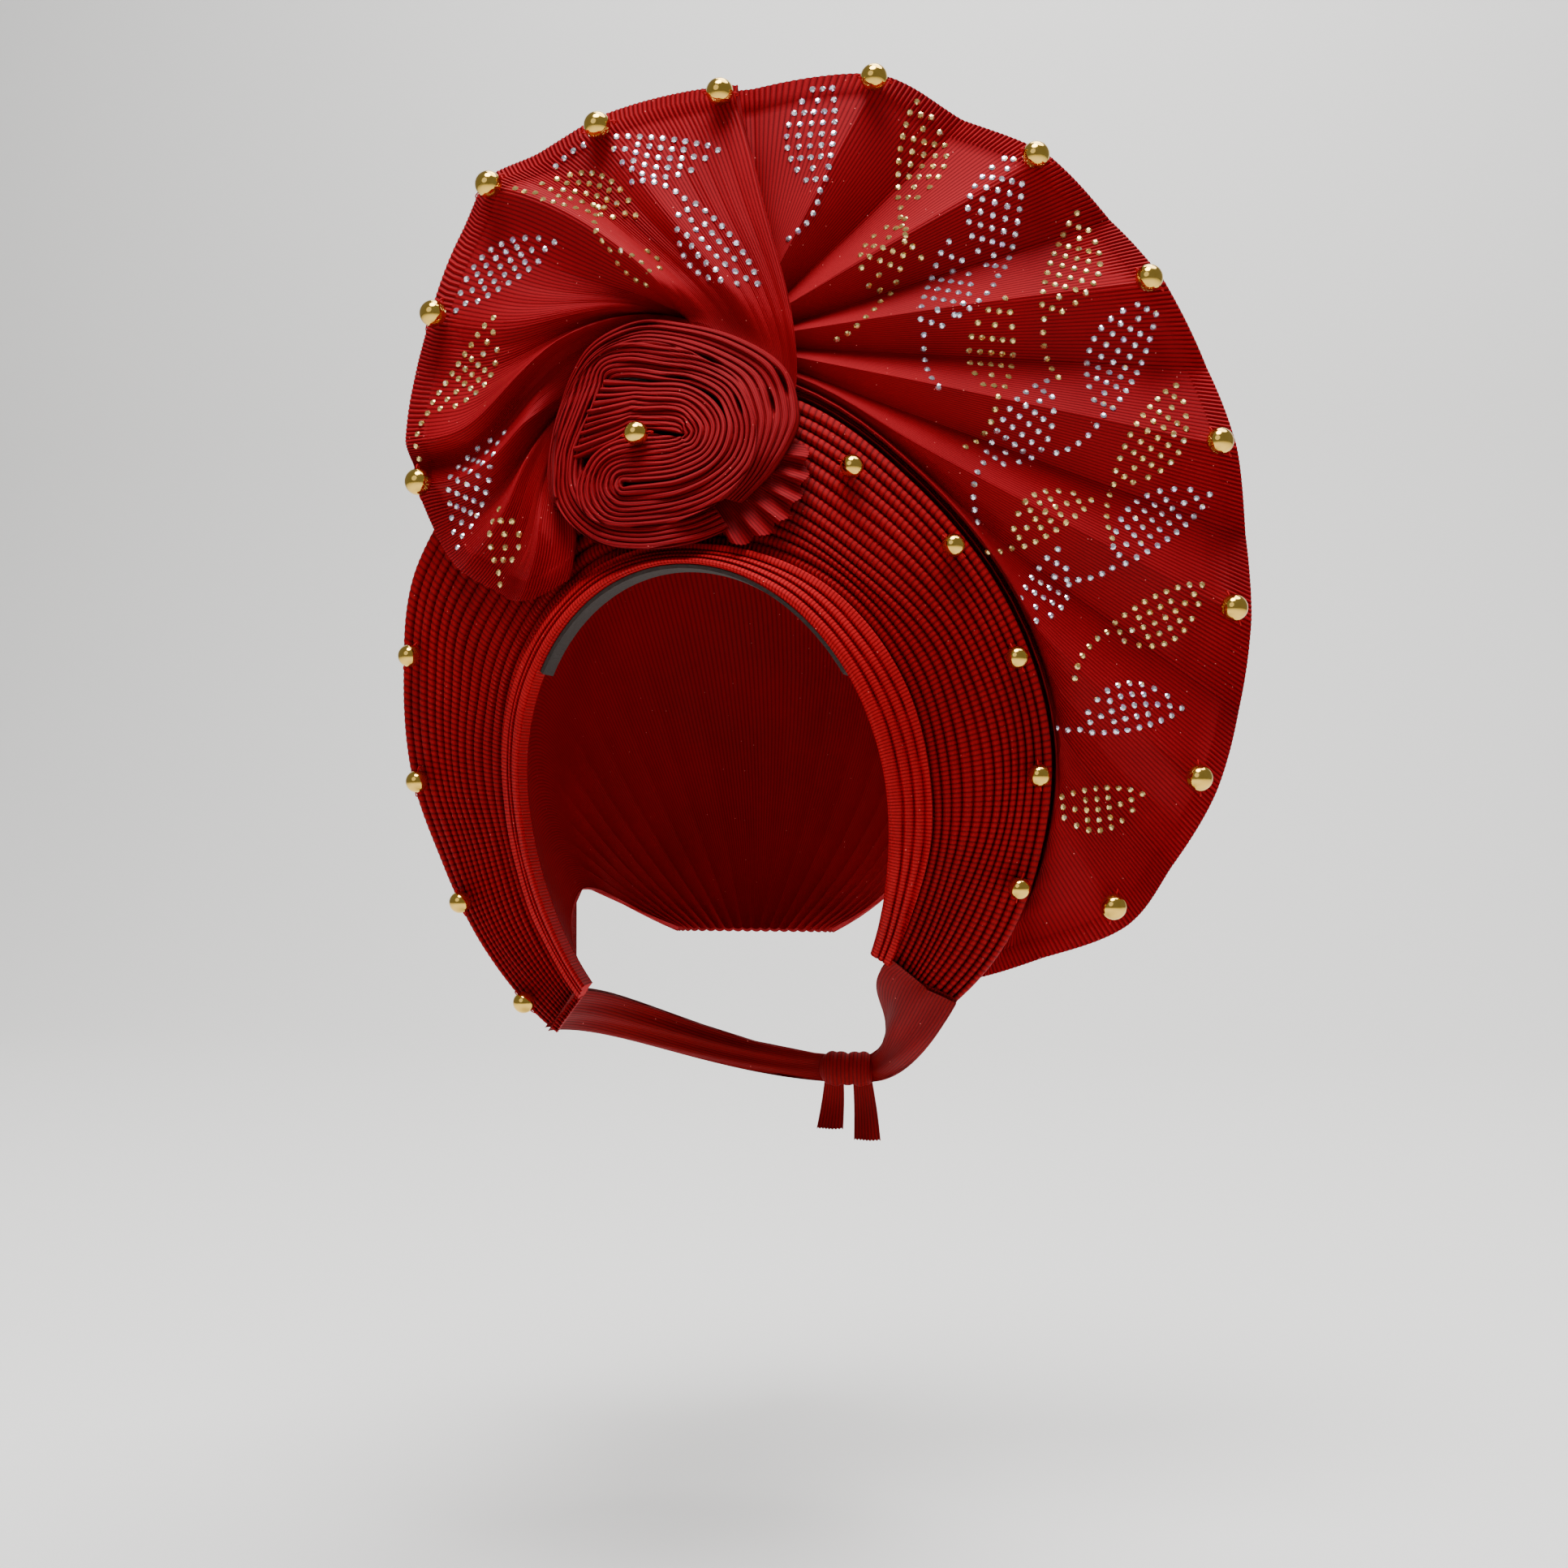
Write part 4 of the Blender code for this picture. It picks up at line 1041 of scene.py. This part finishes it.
# Crown cap
# One layer of the plain side of the cloth covers the crown from the band to the nape, where it is gathered.
# The fans and the brim are sewn to it from behind.
CAP_WALL = 0.002
CROWN_HALF_WIDTH = 0.075
CROWN_LENGTH = 0.094
CROWN_HEIGHT = 0.106
CROWN_Y = 0.012
CROWN_Z = 0.016
NAPE_Y = 0.086
NAPE_Z = -0.052
NAPE_HALF_WIDTH = 0.034
CAP_CORD = 0.0017
CAP_CORD_DEPTH = 0.00016
CAP_GATHERS = 22
CAP_GATHER_DEPTH = 0.0012
CAP_CLOTH = corded_cloth("cap_red_cloth", (0.27, 0.002, 0.006, 1.0), (0.09, 0.0005, 0.002, 1.0), 0.4, 0.5)
cap_degs = even_turn(FIRST_DEG, LAST_DEG, lambda deg: opening_radius(deg) + 0.01, CAP_CORD)


def cap_point(column, v, wall, dip):
    """The crown cap's skin, from the band's back (v 0) over the head to the nape (v 1)."""
    deg = cap_degs[column]
    a = math.radians(deg)
    x, z = round_point(deg, opening_radius(deg) + CAP_WALL)
    start = lay(x, z, -SEAM_GAP)
    end = Vector((NAPE_HALF_WIDTH * math.sin(a * 0.6), NAPE_Y, NAPE_Z))
    middle = Vector((0.0, CROWN_Y, CROWN_Z))
    first, last = start - middle, end - middle
    over = Vector((math.sin(a * 0.75), 0.35, math.cos(a * 0.75)))
    way = first.normalized() * (1 - v) ** 2 + over * 2 * v * (1 - v) + last.normalized() * v * v
    way.normalize()
    dome = 1 / Vector((way.x / CROWN_HALF_WIDTH, way.y / CROWN_LENGTH, way.z / CROWN_HEIGHT)).length
    near, far = (1 - v) ** 3, v**3
    reach = first.length * near + last.length * far + dome * (1 - near - far)
    gather = CAP_GATHER_DEPTH * (roll(column / len(cap_degs) * CAP_GATHERS, 2.0) - 1) * ease(0.45, 1.0, v)
    rim = Vector((math.sin(a), 0.0, math.cos(a)))
    inward = rim.lerp(way, ease(0.0, 0.12, v))
    return middle + way * (reach + gather) - inward * (wall + CAP_CORD_DEPTH * dip)


crown_cap = cord_wall("crown_cap_cloth", len(cap_degs) - 1, 26, 18, cap_point, CAP_WALL, CAP_CLOTH)
dress(crown_cap, "crown_cap")

# Interlining strip
# A strip of stiff grey felt is sewn inside the band, and its edge shows under the folds over the forehead.
INTERLINING_WALL = 0.0013
INTERLINING_DEPTH = 0.015
INTERLINING_DEGS = (FIRST_DEG + (LAST_DEG - FIRST_DEG) * 9 / 26, FIRST_DEG + (LAST_DEG - FIRST_DEG) * 18 / 26)
INTERLINING_STEPS = 90
FELT_DARK = (0.012, 0.009, 0.008, 1.0)
FELT_LIGHT = (0.05, 0.04, 0.034, 1.0)
FELT_SCALE = 900.0
FELT_FUZZ = 0.0003


def make_felt():
    """Grey felt: matted fibres in two tones, with a fuzzy surface."""
    look, tree, shader = new_look("interlining_felt")
    where = tree.nodes.new("ShaderNodeTexCoord").outputs["Object"]
    fibres = noise_node(tree, where, FELT_SCALE, 5.0)
    shade = mix_node(tree, fibres, FELT_DARK, FELT_LIGHT)
    feed(tree, shader, {"Base Color": shade, "Roughness": 0.95, "Normal": bump_node(tree, fibres, FELT_FUZZ)})
    return look


def felt_point(column, v, inset, _):
    """The felt has no cords, so it takes no dip."""
    deg = INTERLINING_DEGS[0] + (INTERLINING_DEGS[1] - INTERLINING_DEGS[0]) * column / INTERLINING_STEPS
    low = lay(*round_point(deg, opening_radius(deg)), BAND_HEIGHT * 0.55)
    fuzz = FELT_FUZZ * waver(column * 1.9, v * 5)
    x, z = round_point(deg, opening_radius(deg) - SEAM_GAP - inset)
    return Vector((x, low.y + INTERLINING_DEPTH * v + fuzz, z))


interlining = cord_wall(
    "interlining_strip_felt", INTERLINING_STEPS, 8, 8, felt_point, INTERLINING_WALL, make_felt()
)
dress(interlining, "interlining_strip")

# Nape straps, knot and tie ends
# Each gathered end of the brim is sewn into a strap of the plain cloth. The straps run behind the neck, meet
# in a knot below the wearer's left ear and leave two short ends. Their cords run lengthways.
STRAP_WALL = 0.002
STRAP_HEIGHT = 0.0088
STRAP_LAP = 0.0028
STRAP_TUCK = 0.004
STRAP_KNOT_WIDTH = 0.0112
STRAP_CORD = 0.0013
STRAP_CORD_DEPTH = 0.00014
STRAP_STEPS = 44
KNOT_X = 0.041
KNOT_Y = 0.070
KNOT_Z = -0.107
KNOT_RADIUS = 0.0085
KNOT_HALF_LENGTH = 0.012
TAIL_WIDTH = 0.011
TAIL_WALL = 0.0015
StrapRow = namedtuple("StrapRow", "node side away back in_x in_y in_z curl flat")
STRAP_ROWS = (
    StrapRow("nape_strap_left", 1, 0.012, 0.014, 0.016, -0.012, 0.004, 0.0040, (0.028, 0.092)),
    StrapRow("nape_strap_right", -1, 0.006, 0.075, -0.050, 0.004, 0.002, 0.0022, (0.024, 0.13)),
)
TailRow = namedtuple("TailRow", "node side length flat")
TAIL_ROWS = (
    TailRow("tie_tail_left", 1, 0.022, (0.011, 0.026)),
    TailRow("tie_tail_right", -1, 0.0176, (0.011, 0.0215)),
)
# Painted shade: the straps, knot and tails get the darkest pair of tones, for the shade they lie in.
STRAP_CLOTH = corded_cloth("strap_red_cloth", (0.19, 0.0015, 0.003, 1.0), (0.055, 0.0003, 0.001, 1.0), 0.7)


@lru_cache(maxsize=None)
def strap_frame(row, t):
    """Centre of a nape strap, the unit vectors across it and through its wall, and its width."""
    deg = LAST_DEG if row.side > 0 else FIRST_DEG
    a = math.radians(deg)
    low = lay(*round_point(deg, brim_inner(deg)), STRAP_HEIGHT)
    high = lay(*round_point(deg, brim_radius(deg)), STRAP_HEIGHT)
    leave = Vector((math.cos(a), 0.0, -math.sin(a))) * row.side
    p0 = (low + high) / 2 - leave * STRAP_LAP
    p1 = p0 + leave * row.away + Vector((0.0, row.back, 0.0))
    p3 = Vector((KNOT_X + row.side * (KNOT_HALF_LENGTH - STRAP_TUCK), KNOT_Y, KNOT_Z))
    p2 = p3 + Vector((row.in_x, row.in_y, row.in_z))
    spot = p0 * (1 - t) ** 3 + p1 * 3 * t * (1 - t) ** 2 + p2 * 3 * t * t * (1 - t) + p3 * t**3
    run = (p1 - p0) * (1 - t) ** 2 + (p2 - p1) * 2 * t * (1 - t) + (p3 - p2) * t * t
    run = leave if t == 0.0 else run.normalized()
    turn = t * t * (3 - 2 * t)
    across = (high - low).normalized() * (1 - turn) + Vector((0.0, 0.0, -1.0)) * turn
    across = (across - run * across.dot(run)).normalized()
    through = run.cross(across) * -row.side
    width = (high - low).length * (1 - turn) + STRAP_KNOT_WIDTH * turn
    return spot, across, through, width


def strap_columns(row):
    _, _, _, width = strap_frame(row, 0.0)
    return 2 * round(width / STRAP_CORD)


def strap_point(row, column, t, depth, dip):
    spot, across, through, width = strap_frame(row, t)
    u = column / strap_columns(row)
    bell = math.sin(math.pi * t) ** 0.8
    belly = row.curl * math.sin(math.pi * u) * bell
    ripple = 0.0009 * math.sin(u * 14 + t * 5) * bell
    spread = 1 + 0.10 * bell * (row.side > 0)
    offset = depth - belly - ripple + STRAP_CORD_DEPTH * dip
    return spot + across * width * spread * (u - 0.5) + through * offset


for row in STRAP_ROWS:
    name, point = row.node + "_cloth", partial(strap_point, row)
    strap = cord_wall(name, strap_columns(row), STRAP_STEPS, STRAP_STEPS, point, STRAP_WALL, STRAP_CLOTH)
    dress(strap, row.node)

KNOT_TURNS = 2.5
KNOT_FOLD = 0.0009
KNOT_WAIST = 0.18
KNOT_FLATTEN = 0.75
KNOT_CORDS_ROUND = 22
KNOT_CORDS_ALONG = 30
edit = bmesh.new()
weave = edit.loops.layers.uv.new("weave")
bmesh.ops.create_uvsphere(edit, u_segments=56, v_segments=40, radius=1.0, calc_uvs=True)
for vert in edit.verts:
    way = vert.co.copy()
    turn = math.atan2(way.y, way.x) / math.tau
    waist = KNOT_RADIUS * (1 - KNOT_WAIST * math.cos(way.z * math.pi))
    fold = KNOT_FOLD * (roll(turn + way.z * KNOT_TURNS, 2.4) - 1) * math.hypot(way.x, way.y)
    aside = Vector((way.z * KNOT_HALF_LENGTH, way.y * (KNOT_FLATTEN * waist + fold), way.x * (waist + fold)))
    vert.co = Vector((KNOT_X, KNOT_Y, KNOT_Z)) + aside
for face in edit.faces:
    for corner in face.loops:
        corner[weave].uv = (corner[weave].uv.y * KNOT_CORDS_ROUND, corner[weave].uv.x * KNOT_CORDS_ALONG)
nape_knot = add_piece("nape_knot_cloth", edit, STRAP_CLOTH)
dress(nape_knot, "nape_knot")

TAIL_COLUMNS = 2 * round(TAIL_WIDTH / STRAP_CORD)


def tail_point(row, column, v, depth, dip):
    u = column / TAIL_COLUMNS
    x = KNOT_X + row.side * (TAIL_WIDTH / 2 + SEAM_GAP + 0.002 * v)
    ragged = 0.0006 * (column % 2) * (v == 1.0)
    z = KNOT_Z - 0.45 * KNOT_RADIUS - (row.length + 0.43 * KNOT_RADIUS + SEAM_GAP) * v + ragged
    swing = 0.003 * math.sin(math.pi * v) + 0.0011 * math.sin(math.tau * u + v) * v
    y = KNOT_Y + swing + depth + STRAP_CORD_DEPTH * dip
    return Vector((x + TAIL_WIDTH * (u - 0.5) * (0.7 + 0.3 * v), y, z))


for row in TAIL_ROWS:
    name, point = row.node + "_cloth", partial(tail_point, row)
    tail = cord_wall(name, TAIL_COLUMNS, 20, 20, point, TAIL_WALL, STRAP_CLOTH)
    dress(tail, row.node)

# Gold beads
# Round hollow beads of polished gold are sewn along both rims, on the brim and in the rosette. Each is
# threaded through its hole, and a stitch of red thread shows at both ends.
FAN_BEAD_RADIUS = 0.005
BRIM_BEAD_RADIUS = 0.0042
BEAD_HOLE = 0.00055
BEAD_ARC_STEPS = 18
BEAD_TURN_STEPS = 36
GOLD_DEEP = (0.72, 0.43, 0.06, 1.0)
GOLD_BRIGHT = (0.84, 0.56, 0.12, 1.0)
GOLD_CLOUD_SCALE = 420.0
GOLD_WEAR = 0.00002
THREAD_RADIUS = 0.00026
THREAD_SIDES = 6
THREAD_BEND_DEG = 150
THREAD_BEND_STEPS = 8
BEAD_NODES = (
    [(f"fan_bead_{number:02d}", FAN_BEAD_RADIUS) for number in range(1, 8)]
    + [(f"drape_bead_{number:02d}", FAN_BEAD_RADIUS) for number in range(1, 6)]
    + [(f"brim_bead_{number:02d}", BRIM_BEAD_RADIUS) for number in range(1, 10)]
    + [("rosette_bead", BRIM_BEAD_RADIUS)]
)


def make_gold():
    """Plated gold: bright, with faint clouding and hairline wear in its polish."""
    look, tree, shader = new_look("polished_gold")
    where = tree.nodes.new("ShaderNodeTexCoord").outputs["Object"]
    cloud = noise_node(tree, where, GOLD_CLOUD_SCALE, 4.0)
    finish = {
        "Base Color": mix_node(tree, cloud, GOLD_DEEP, GOLD_BRIGHT),
        "Roughness": math_node(tree, "MULTIPLY_ADD", cloud, 0.12, 0.05),
        "Normal": bump_node(tree, cloud, GOLD_WEAR),
        "Metallic": 1.0,
    }
    feed(tree, shader, finish)
    return look


def stand_at(spot, way):
    """The matrix that moves a thing made at the origin to a spot and turns its +Z along a way."""
    return Matrix.Translation(spot) @ way.to_track_quat("Z", "Y").to_matrix().to_4x4()


GOLD = make_gold()
THREAD_CLOTH = corded_cloth("red_thread", (0.40, 0.005, 0.010, 1.0), (0.20, 0.002, 0.004, 1.0), 0.0, 0.0)
thread_edit = bmesh.new()
bead_spots = []
for node, radius in BEAD_NODES:
    low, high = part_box(node)
    centre = (low + high) / 2
    bead_spots.append(centre)
    middle_x, middle_z = (ROSETTE_X, ROSETTE_Z) if node.startswith("drape") else (0.0, 0.0)
    turn = math.atan2(centre.x - middle_x, centre.z - middle_z)
    axis = Vector((math.cos(turn), 0.0, -math.sin(turn)))
    edit = bmesh.new()
    start = math.asin(BEAD_HOLE / radius)
    arc = [start + (math.pi - 2 * start) * k / BEAD_ARC_STEPS for k in range(BEAD_ARC_STEPS + 1)]
    ring = [edit.verts.new((radius * math.sin(t), 0.0, radius * math.cos(t))) for t in arc]
    outline = [edit.edges.new(pair) for pair in zip(ring, ring[1:] + ring[:1])]
    bmesh.ops.spin(
        edit,
        geom=ring + outline,
        cent=(0.0, 0.0, 0.0),
        axis=(0.0, 0.0, 1.0),
        angle=math.tau,
        steps=BEAD_TURN_STEPS,
        use_merge=True,
    )
    bmesh.ops.transform(edit, matrix=stand_at(centre, axis), verts=edit.verts[:])
    bead = add_piece(node + "_ball", edit, GOLD, 60)
    dress(bead, node)
    for way in (axis, -axis):
        leave = centre + way * (radius * 0.9)
        end = stand_at(leave, way)
        tube = bmesh.ops.create_circle(thread_edit, segments=THREAD_SIDES, radius=THREAD_RADIUS, matrix=end)
        loop = tube["verts"] + list({edge for vert in tube["verts"] for edge in vert.link_edges})
        bmesh.ops.spin(
            thread_edit,
            geom=loop,
            cent=leave + Vector((0.0, radius * 0.45, 0.0)),
            axis=way.cross(Vector((0.0, 1.0, 0.0))),
            angle=math.radians(THREAD_BEND_DEG),
            steps=THREAD_BEND_STEPS,
        )
fill_holes(thread_edit)
threads = add_piece("bead_stitches", thread_edit, THREAD_CLOTH)
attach(threads, "root")

# Leaf sprays of stones
# Small flat-backed faceted stones are glued to both fans in sprays of leaves on short stems, turn by turn in
# clear and in gold. Each leaf has rows that bow out from its midrib and meet at both tips.
STONE_RADIUS = 0.00125
STONE_TABLE = 0.00068
STONE_HEIGHT = 0.00075
STONE_GIRDLE = 0.00018
STONE_SIDES = 8
STONE_STEP = 0.0044
STONE_APART = 0.0034
LEAF_SCALE = 1.14
LEAF_ROWS = (-1.0, -0.5, 0.0, 0.5, 1.0)
STEM_STONES = 5
STEM_BEND_DEG = 10
LEAF_BEND = 0.12
BEAD_CLEAR = 0.0075
STONE_SINK = 0.0002
STONE_TILT = 0.22
STONE_FLASH = 0.72
STONE_MERGE = 2e-6
STONE_SHARP_DEG = 5
COVER_CLEAR = 0.0005
LEAST_FACING = 0.35
CAST_FROM_Y = -0.4
Leaf = namedtuple("Leaf", "place share turn length width stem gold")
FAN_LEAVES = (
    Leaf(1.6, 0.74, 2, 0.040, 0.016, 1, 0),
    Leaf(3.0, 0.80, 8, 0.036, 0.015, -1, 1),
    Leaf(4.3, 0.76, 10, 0.042, 0.016, 1, 0),
    Leaf(5.6, 0.82, 16, 0.038, 0.016, -1, 1),
    Leaf(6.9, 0.80, 24, 0.042, 0.017, 1, 0),
    Leaf(8.1, 0.83, 32, 0.038, 0.016, -1, 1),
    Leaf(9.3, 0.80, 52, 0.040, 0.016, 1, 0),
    Leaf(10.6, 0.82, 64, 0.034, 0.015, -1, 1),
    Leaf(11.9, 0.80, 78, 0.034, 0.015, 1, 0),
    Leaf(13.3, 0.84, 84, 0.030, 0.014, -1, 1),
    Leaf(4.1, 0.42, 16, 0.028, 0.013, 1, 1),
    Leaf(5.5, 0.50, 14, 0.032, 0.014, -1, 0),
    Leaf(6.9, 0.52, 4, 0.032, 0.014, 1, 1),
    Leaf(8.5, 0.55, 36, 0.034, 0.015, -1, 0),
    Leaf(10.0, 0.58, 58, 0.030, 0.013, 1, 1),
    Leaf(11.3, 0.60, 28, 0.028, 0.013, -1, 0),
)
DRAPE_LEAVES = (
    Leaf(1.5, 0.78, 98, 0.038, 0.014, -1, 0),
    Leaf(3.0, 0.76, 104, 0.038, 0.014, 1, 1),
    Leaf(1.7, 0.44, 140, 0.038, 0.016, -1, 0),
    Leaf(5.1, 0.78, 60, 0.040, 0.014, 1, 0),
    Leaf(6.9, 0.72, 38, 0.038, 0.013, -1, 1),
    Leaf(10.2, 0.72, 24, 0.040, 0.014, 1, 0),
    Leaf(3.9, 0.40, 128, 0.020, 0.010, 1, 1),
    Leaf(12.4, 0.72, 2, 0.020, 0.010, -1, 1),
)


def make_stone(name, cut, glow, gleam):
    """A foil-backed glass stone: mirror-bright, with each facet painted a tone between cut and glow as a
    painted reflection, and the brightest facets in the gleam tone as painted glints.
    """
    look, tree, shader = new_look(name)
    tone = add_node(tree, "ShaderNodeAttribute", {}, attribute_name="tone").outputs["Fac"]
    flash = math_node(tree, "GREATER_THAN", tone, STONE_FLASH)
    shade = mix_node(tree, flash, mix_node(tree, tone, cut, glow), gleam)
    rough = math_node(tree, "MULTIPLY_ADD", tone, 0.12, 0.04)
    feed(tree, shader, {"Base Color": shade, "Roughness": rough, "Metallic": 0.85})
    return look


def leaf_spots(leaf, middle):
    """(x, z) of the stones of one spray: the leaf's rows, then its stem."""
    along = Vector((math.sin(math.radians(leaf.turn)), math.cos(math.radians(leaf.turn))))
    across = Vector((along.y, -along.x))
    length, width = leaf.length * LEAF_SCALE, leaf.width * LEAF_SCALE
    count = round(length / STONE_STEP)
    spots = []
    for row in LEAF_ROWS:
        for k in range(count + 1):
            t = k / count
            bow = math.sin(math.pi * t) ** 0.75
            sway = LEAF_BEND * leaf.stem * length * (2 * t - 1) ** 2
            aside = width / 2 * row * bow + sway
            spot = middle + along * (t - 0.5) * length + across * aside
            if all((spot - other).length > STONE_APART for other in spots):
                spots.append(spot)
    tip = middle - along * length / 2 + across * LEAF_BEND * leaf.stem * length
    heading = leaf.turn + 180
    for k in range(STEM_STONES):
        heading += STEM_BEND_DEG * leaf.stem
        tip = tip + Vector((math.sin(math.radians(heading)), math.cos(math.radians(heading)))) * STONE_STEP
        spots.append(tip)
    return spots


bpy.context.view_layer.update()
depsgraph = bpy.context.evaluated_depsgraph_get()
covers = {
    piece.name: BVHTree.FromObject(piece, depsgraph)
    for piece in (pleated_fan, draped_fan, rosette_coil, rosette_wrap, rosette_frill, pleated_brim)
}
ahead = Vector((0.0, 1.0, 0.0))


def seat_on(piece, spot):
    """Where a stone rests on a piece at (x, z), and which way it faces, or None where something covers it."""
    start = Vector((spot.x, CAST_FROM_Y, spot.y))
    hits = {name: tree.ray_cast(start, ahead) for name, tree in covers.items()}
    own = hits.pop(piece.name)
    if own[0] is None:
        return None
    if any(hit[0] is not None and hit[0].y < own[0].y + COVER_CLEAR for hit in hits.values()):
        return None
    corners = []
    for deg in (0, 120, 240):
        x, z = round_point(deg, STONE_RADIUS * 0.9, spot.x, spot.y)
        corner = covers[piece.name].ray_cast(Vector((x, CAST_FROM_Y, z)), ahead)[0]
        if corner is None:
            return None
        corners.append(corner)
    facing = (corners[1] - corners[0]).cross(corners[2] - corners[0]).normalized()
    if facing.y > 0:
        facing = -facing
    if facing.y > -LEAST_FACING:
        return None
    return (corners[0] + corners[1] + corners[2]) / 3, facing


def facet_tone(x, y, z=0.0):
    return 0.5 + 0.5 * waver(x, y, z)


stone_edits = (bmesh.new(), bmesh.new())
tones = [edit.faces.layers.float.new("tone") for edit in stone_edits]
for piece, leaves, spot_of in (
    (pleated_fan, FAN_LEAVES, lambda leaf: Vector(fan_spot(leaf.place, leaf.share)[0])),
    (draped_fan, DRAPE_LEAVES, lambda leaf: drape_point(leaf.place, leaf.share).xz),
):
    for leaf in leaves:
        for number, spot in enumerate(leaf_spots(leaf, spot_of(leaf))):
            if any(math.hypot(bead.x - spot.x, bead.z - spot.y) < BEAD_CLEAR for bead in bead_spots):
                continue
            seat = seat_on(piece, spot)
            if seat is None:
                continue
            rest, facing = seat
            tilt = Vector((waver(spot.x * 900, number), 0.0, waver(spot.y * 900, number))) * STONE_TILT
            turned = stand_at(rest, (facing + tilt).normalized())
            edit, tone = stone_edits[leaf.gold], tones[leaf.gold]
            for foot, head, bottom, top in (
                (STONE_RADIUS, STONE_RADIUS, -STONE_SINK, STONE_GIRDLE),
                (STONE_RADIUS, STONE_TABLE, STONE_GIRDLE, STONE_HEIGHT),
            ):
                made = bmesh.ops.create_cone(
                    edit,
                    cap_ends=False,
                    segments=STONE_SIDES,
                    radius1=foot,
                    radius2=head,
                    depth=top - bottom,
                    matrix=turned @ Matrix.Translation((0, 0, (top + bottom) / 2)),
                )["verts"]
                # Each facet takes a random tone, which the stone's material paints as reflections and glints.
                for face in {face for vert in made for face in vert.link_faces}:
                    face[tone] = facet_tone(face.calc_center_median().x * 3000, number * 1.3, spot.y * 700)

stone_looks = (
    make_stone("clear_stone", (0.62, 0.66, 0.80, 1.0), (0.95, 0.93, 0.98, 1.0), (0.75, 0.60, 0.98, 1.0)),
    make_stone("gold_stone", (0.62, 0.40, 0.10, 1.0), (0.95, 0.74, 0.34, 1.0), (1.0, 0.88, 0.58, 1.0)),
)
for name, edit, tone, look in zip(("clear_stones", "gold_stones"), stone_edits, tones, stone_looks):
    bmesh.ops.remove_doubles(edit, verts=edit.verts[:], dist=STONE_MERGE)
    # The filled ends take random tones too, painted reflections like the facets.
    for face in fill_holes(edit):
        middle = face.calc_center_median()
        face[tone] = facet_tone(middle.x * 2100, middle.z * 1700)
    joined = add_piece(name, edit, look, STONE_SHARP_DEG)
    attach(joined, "root")
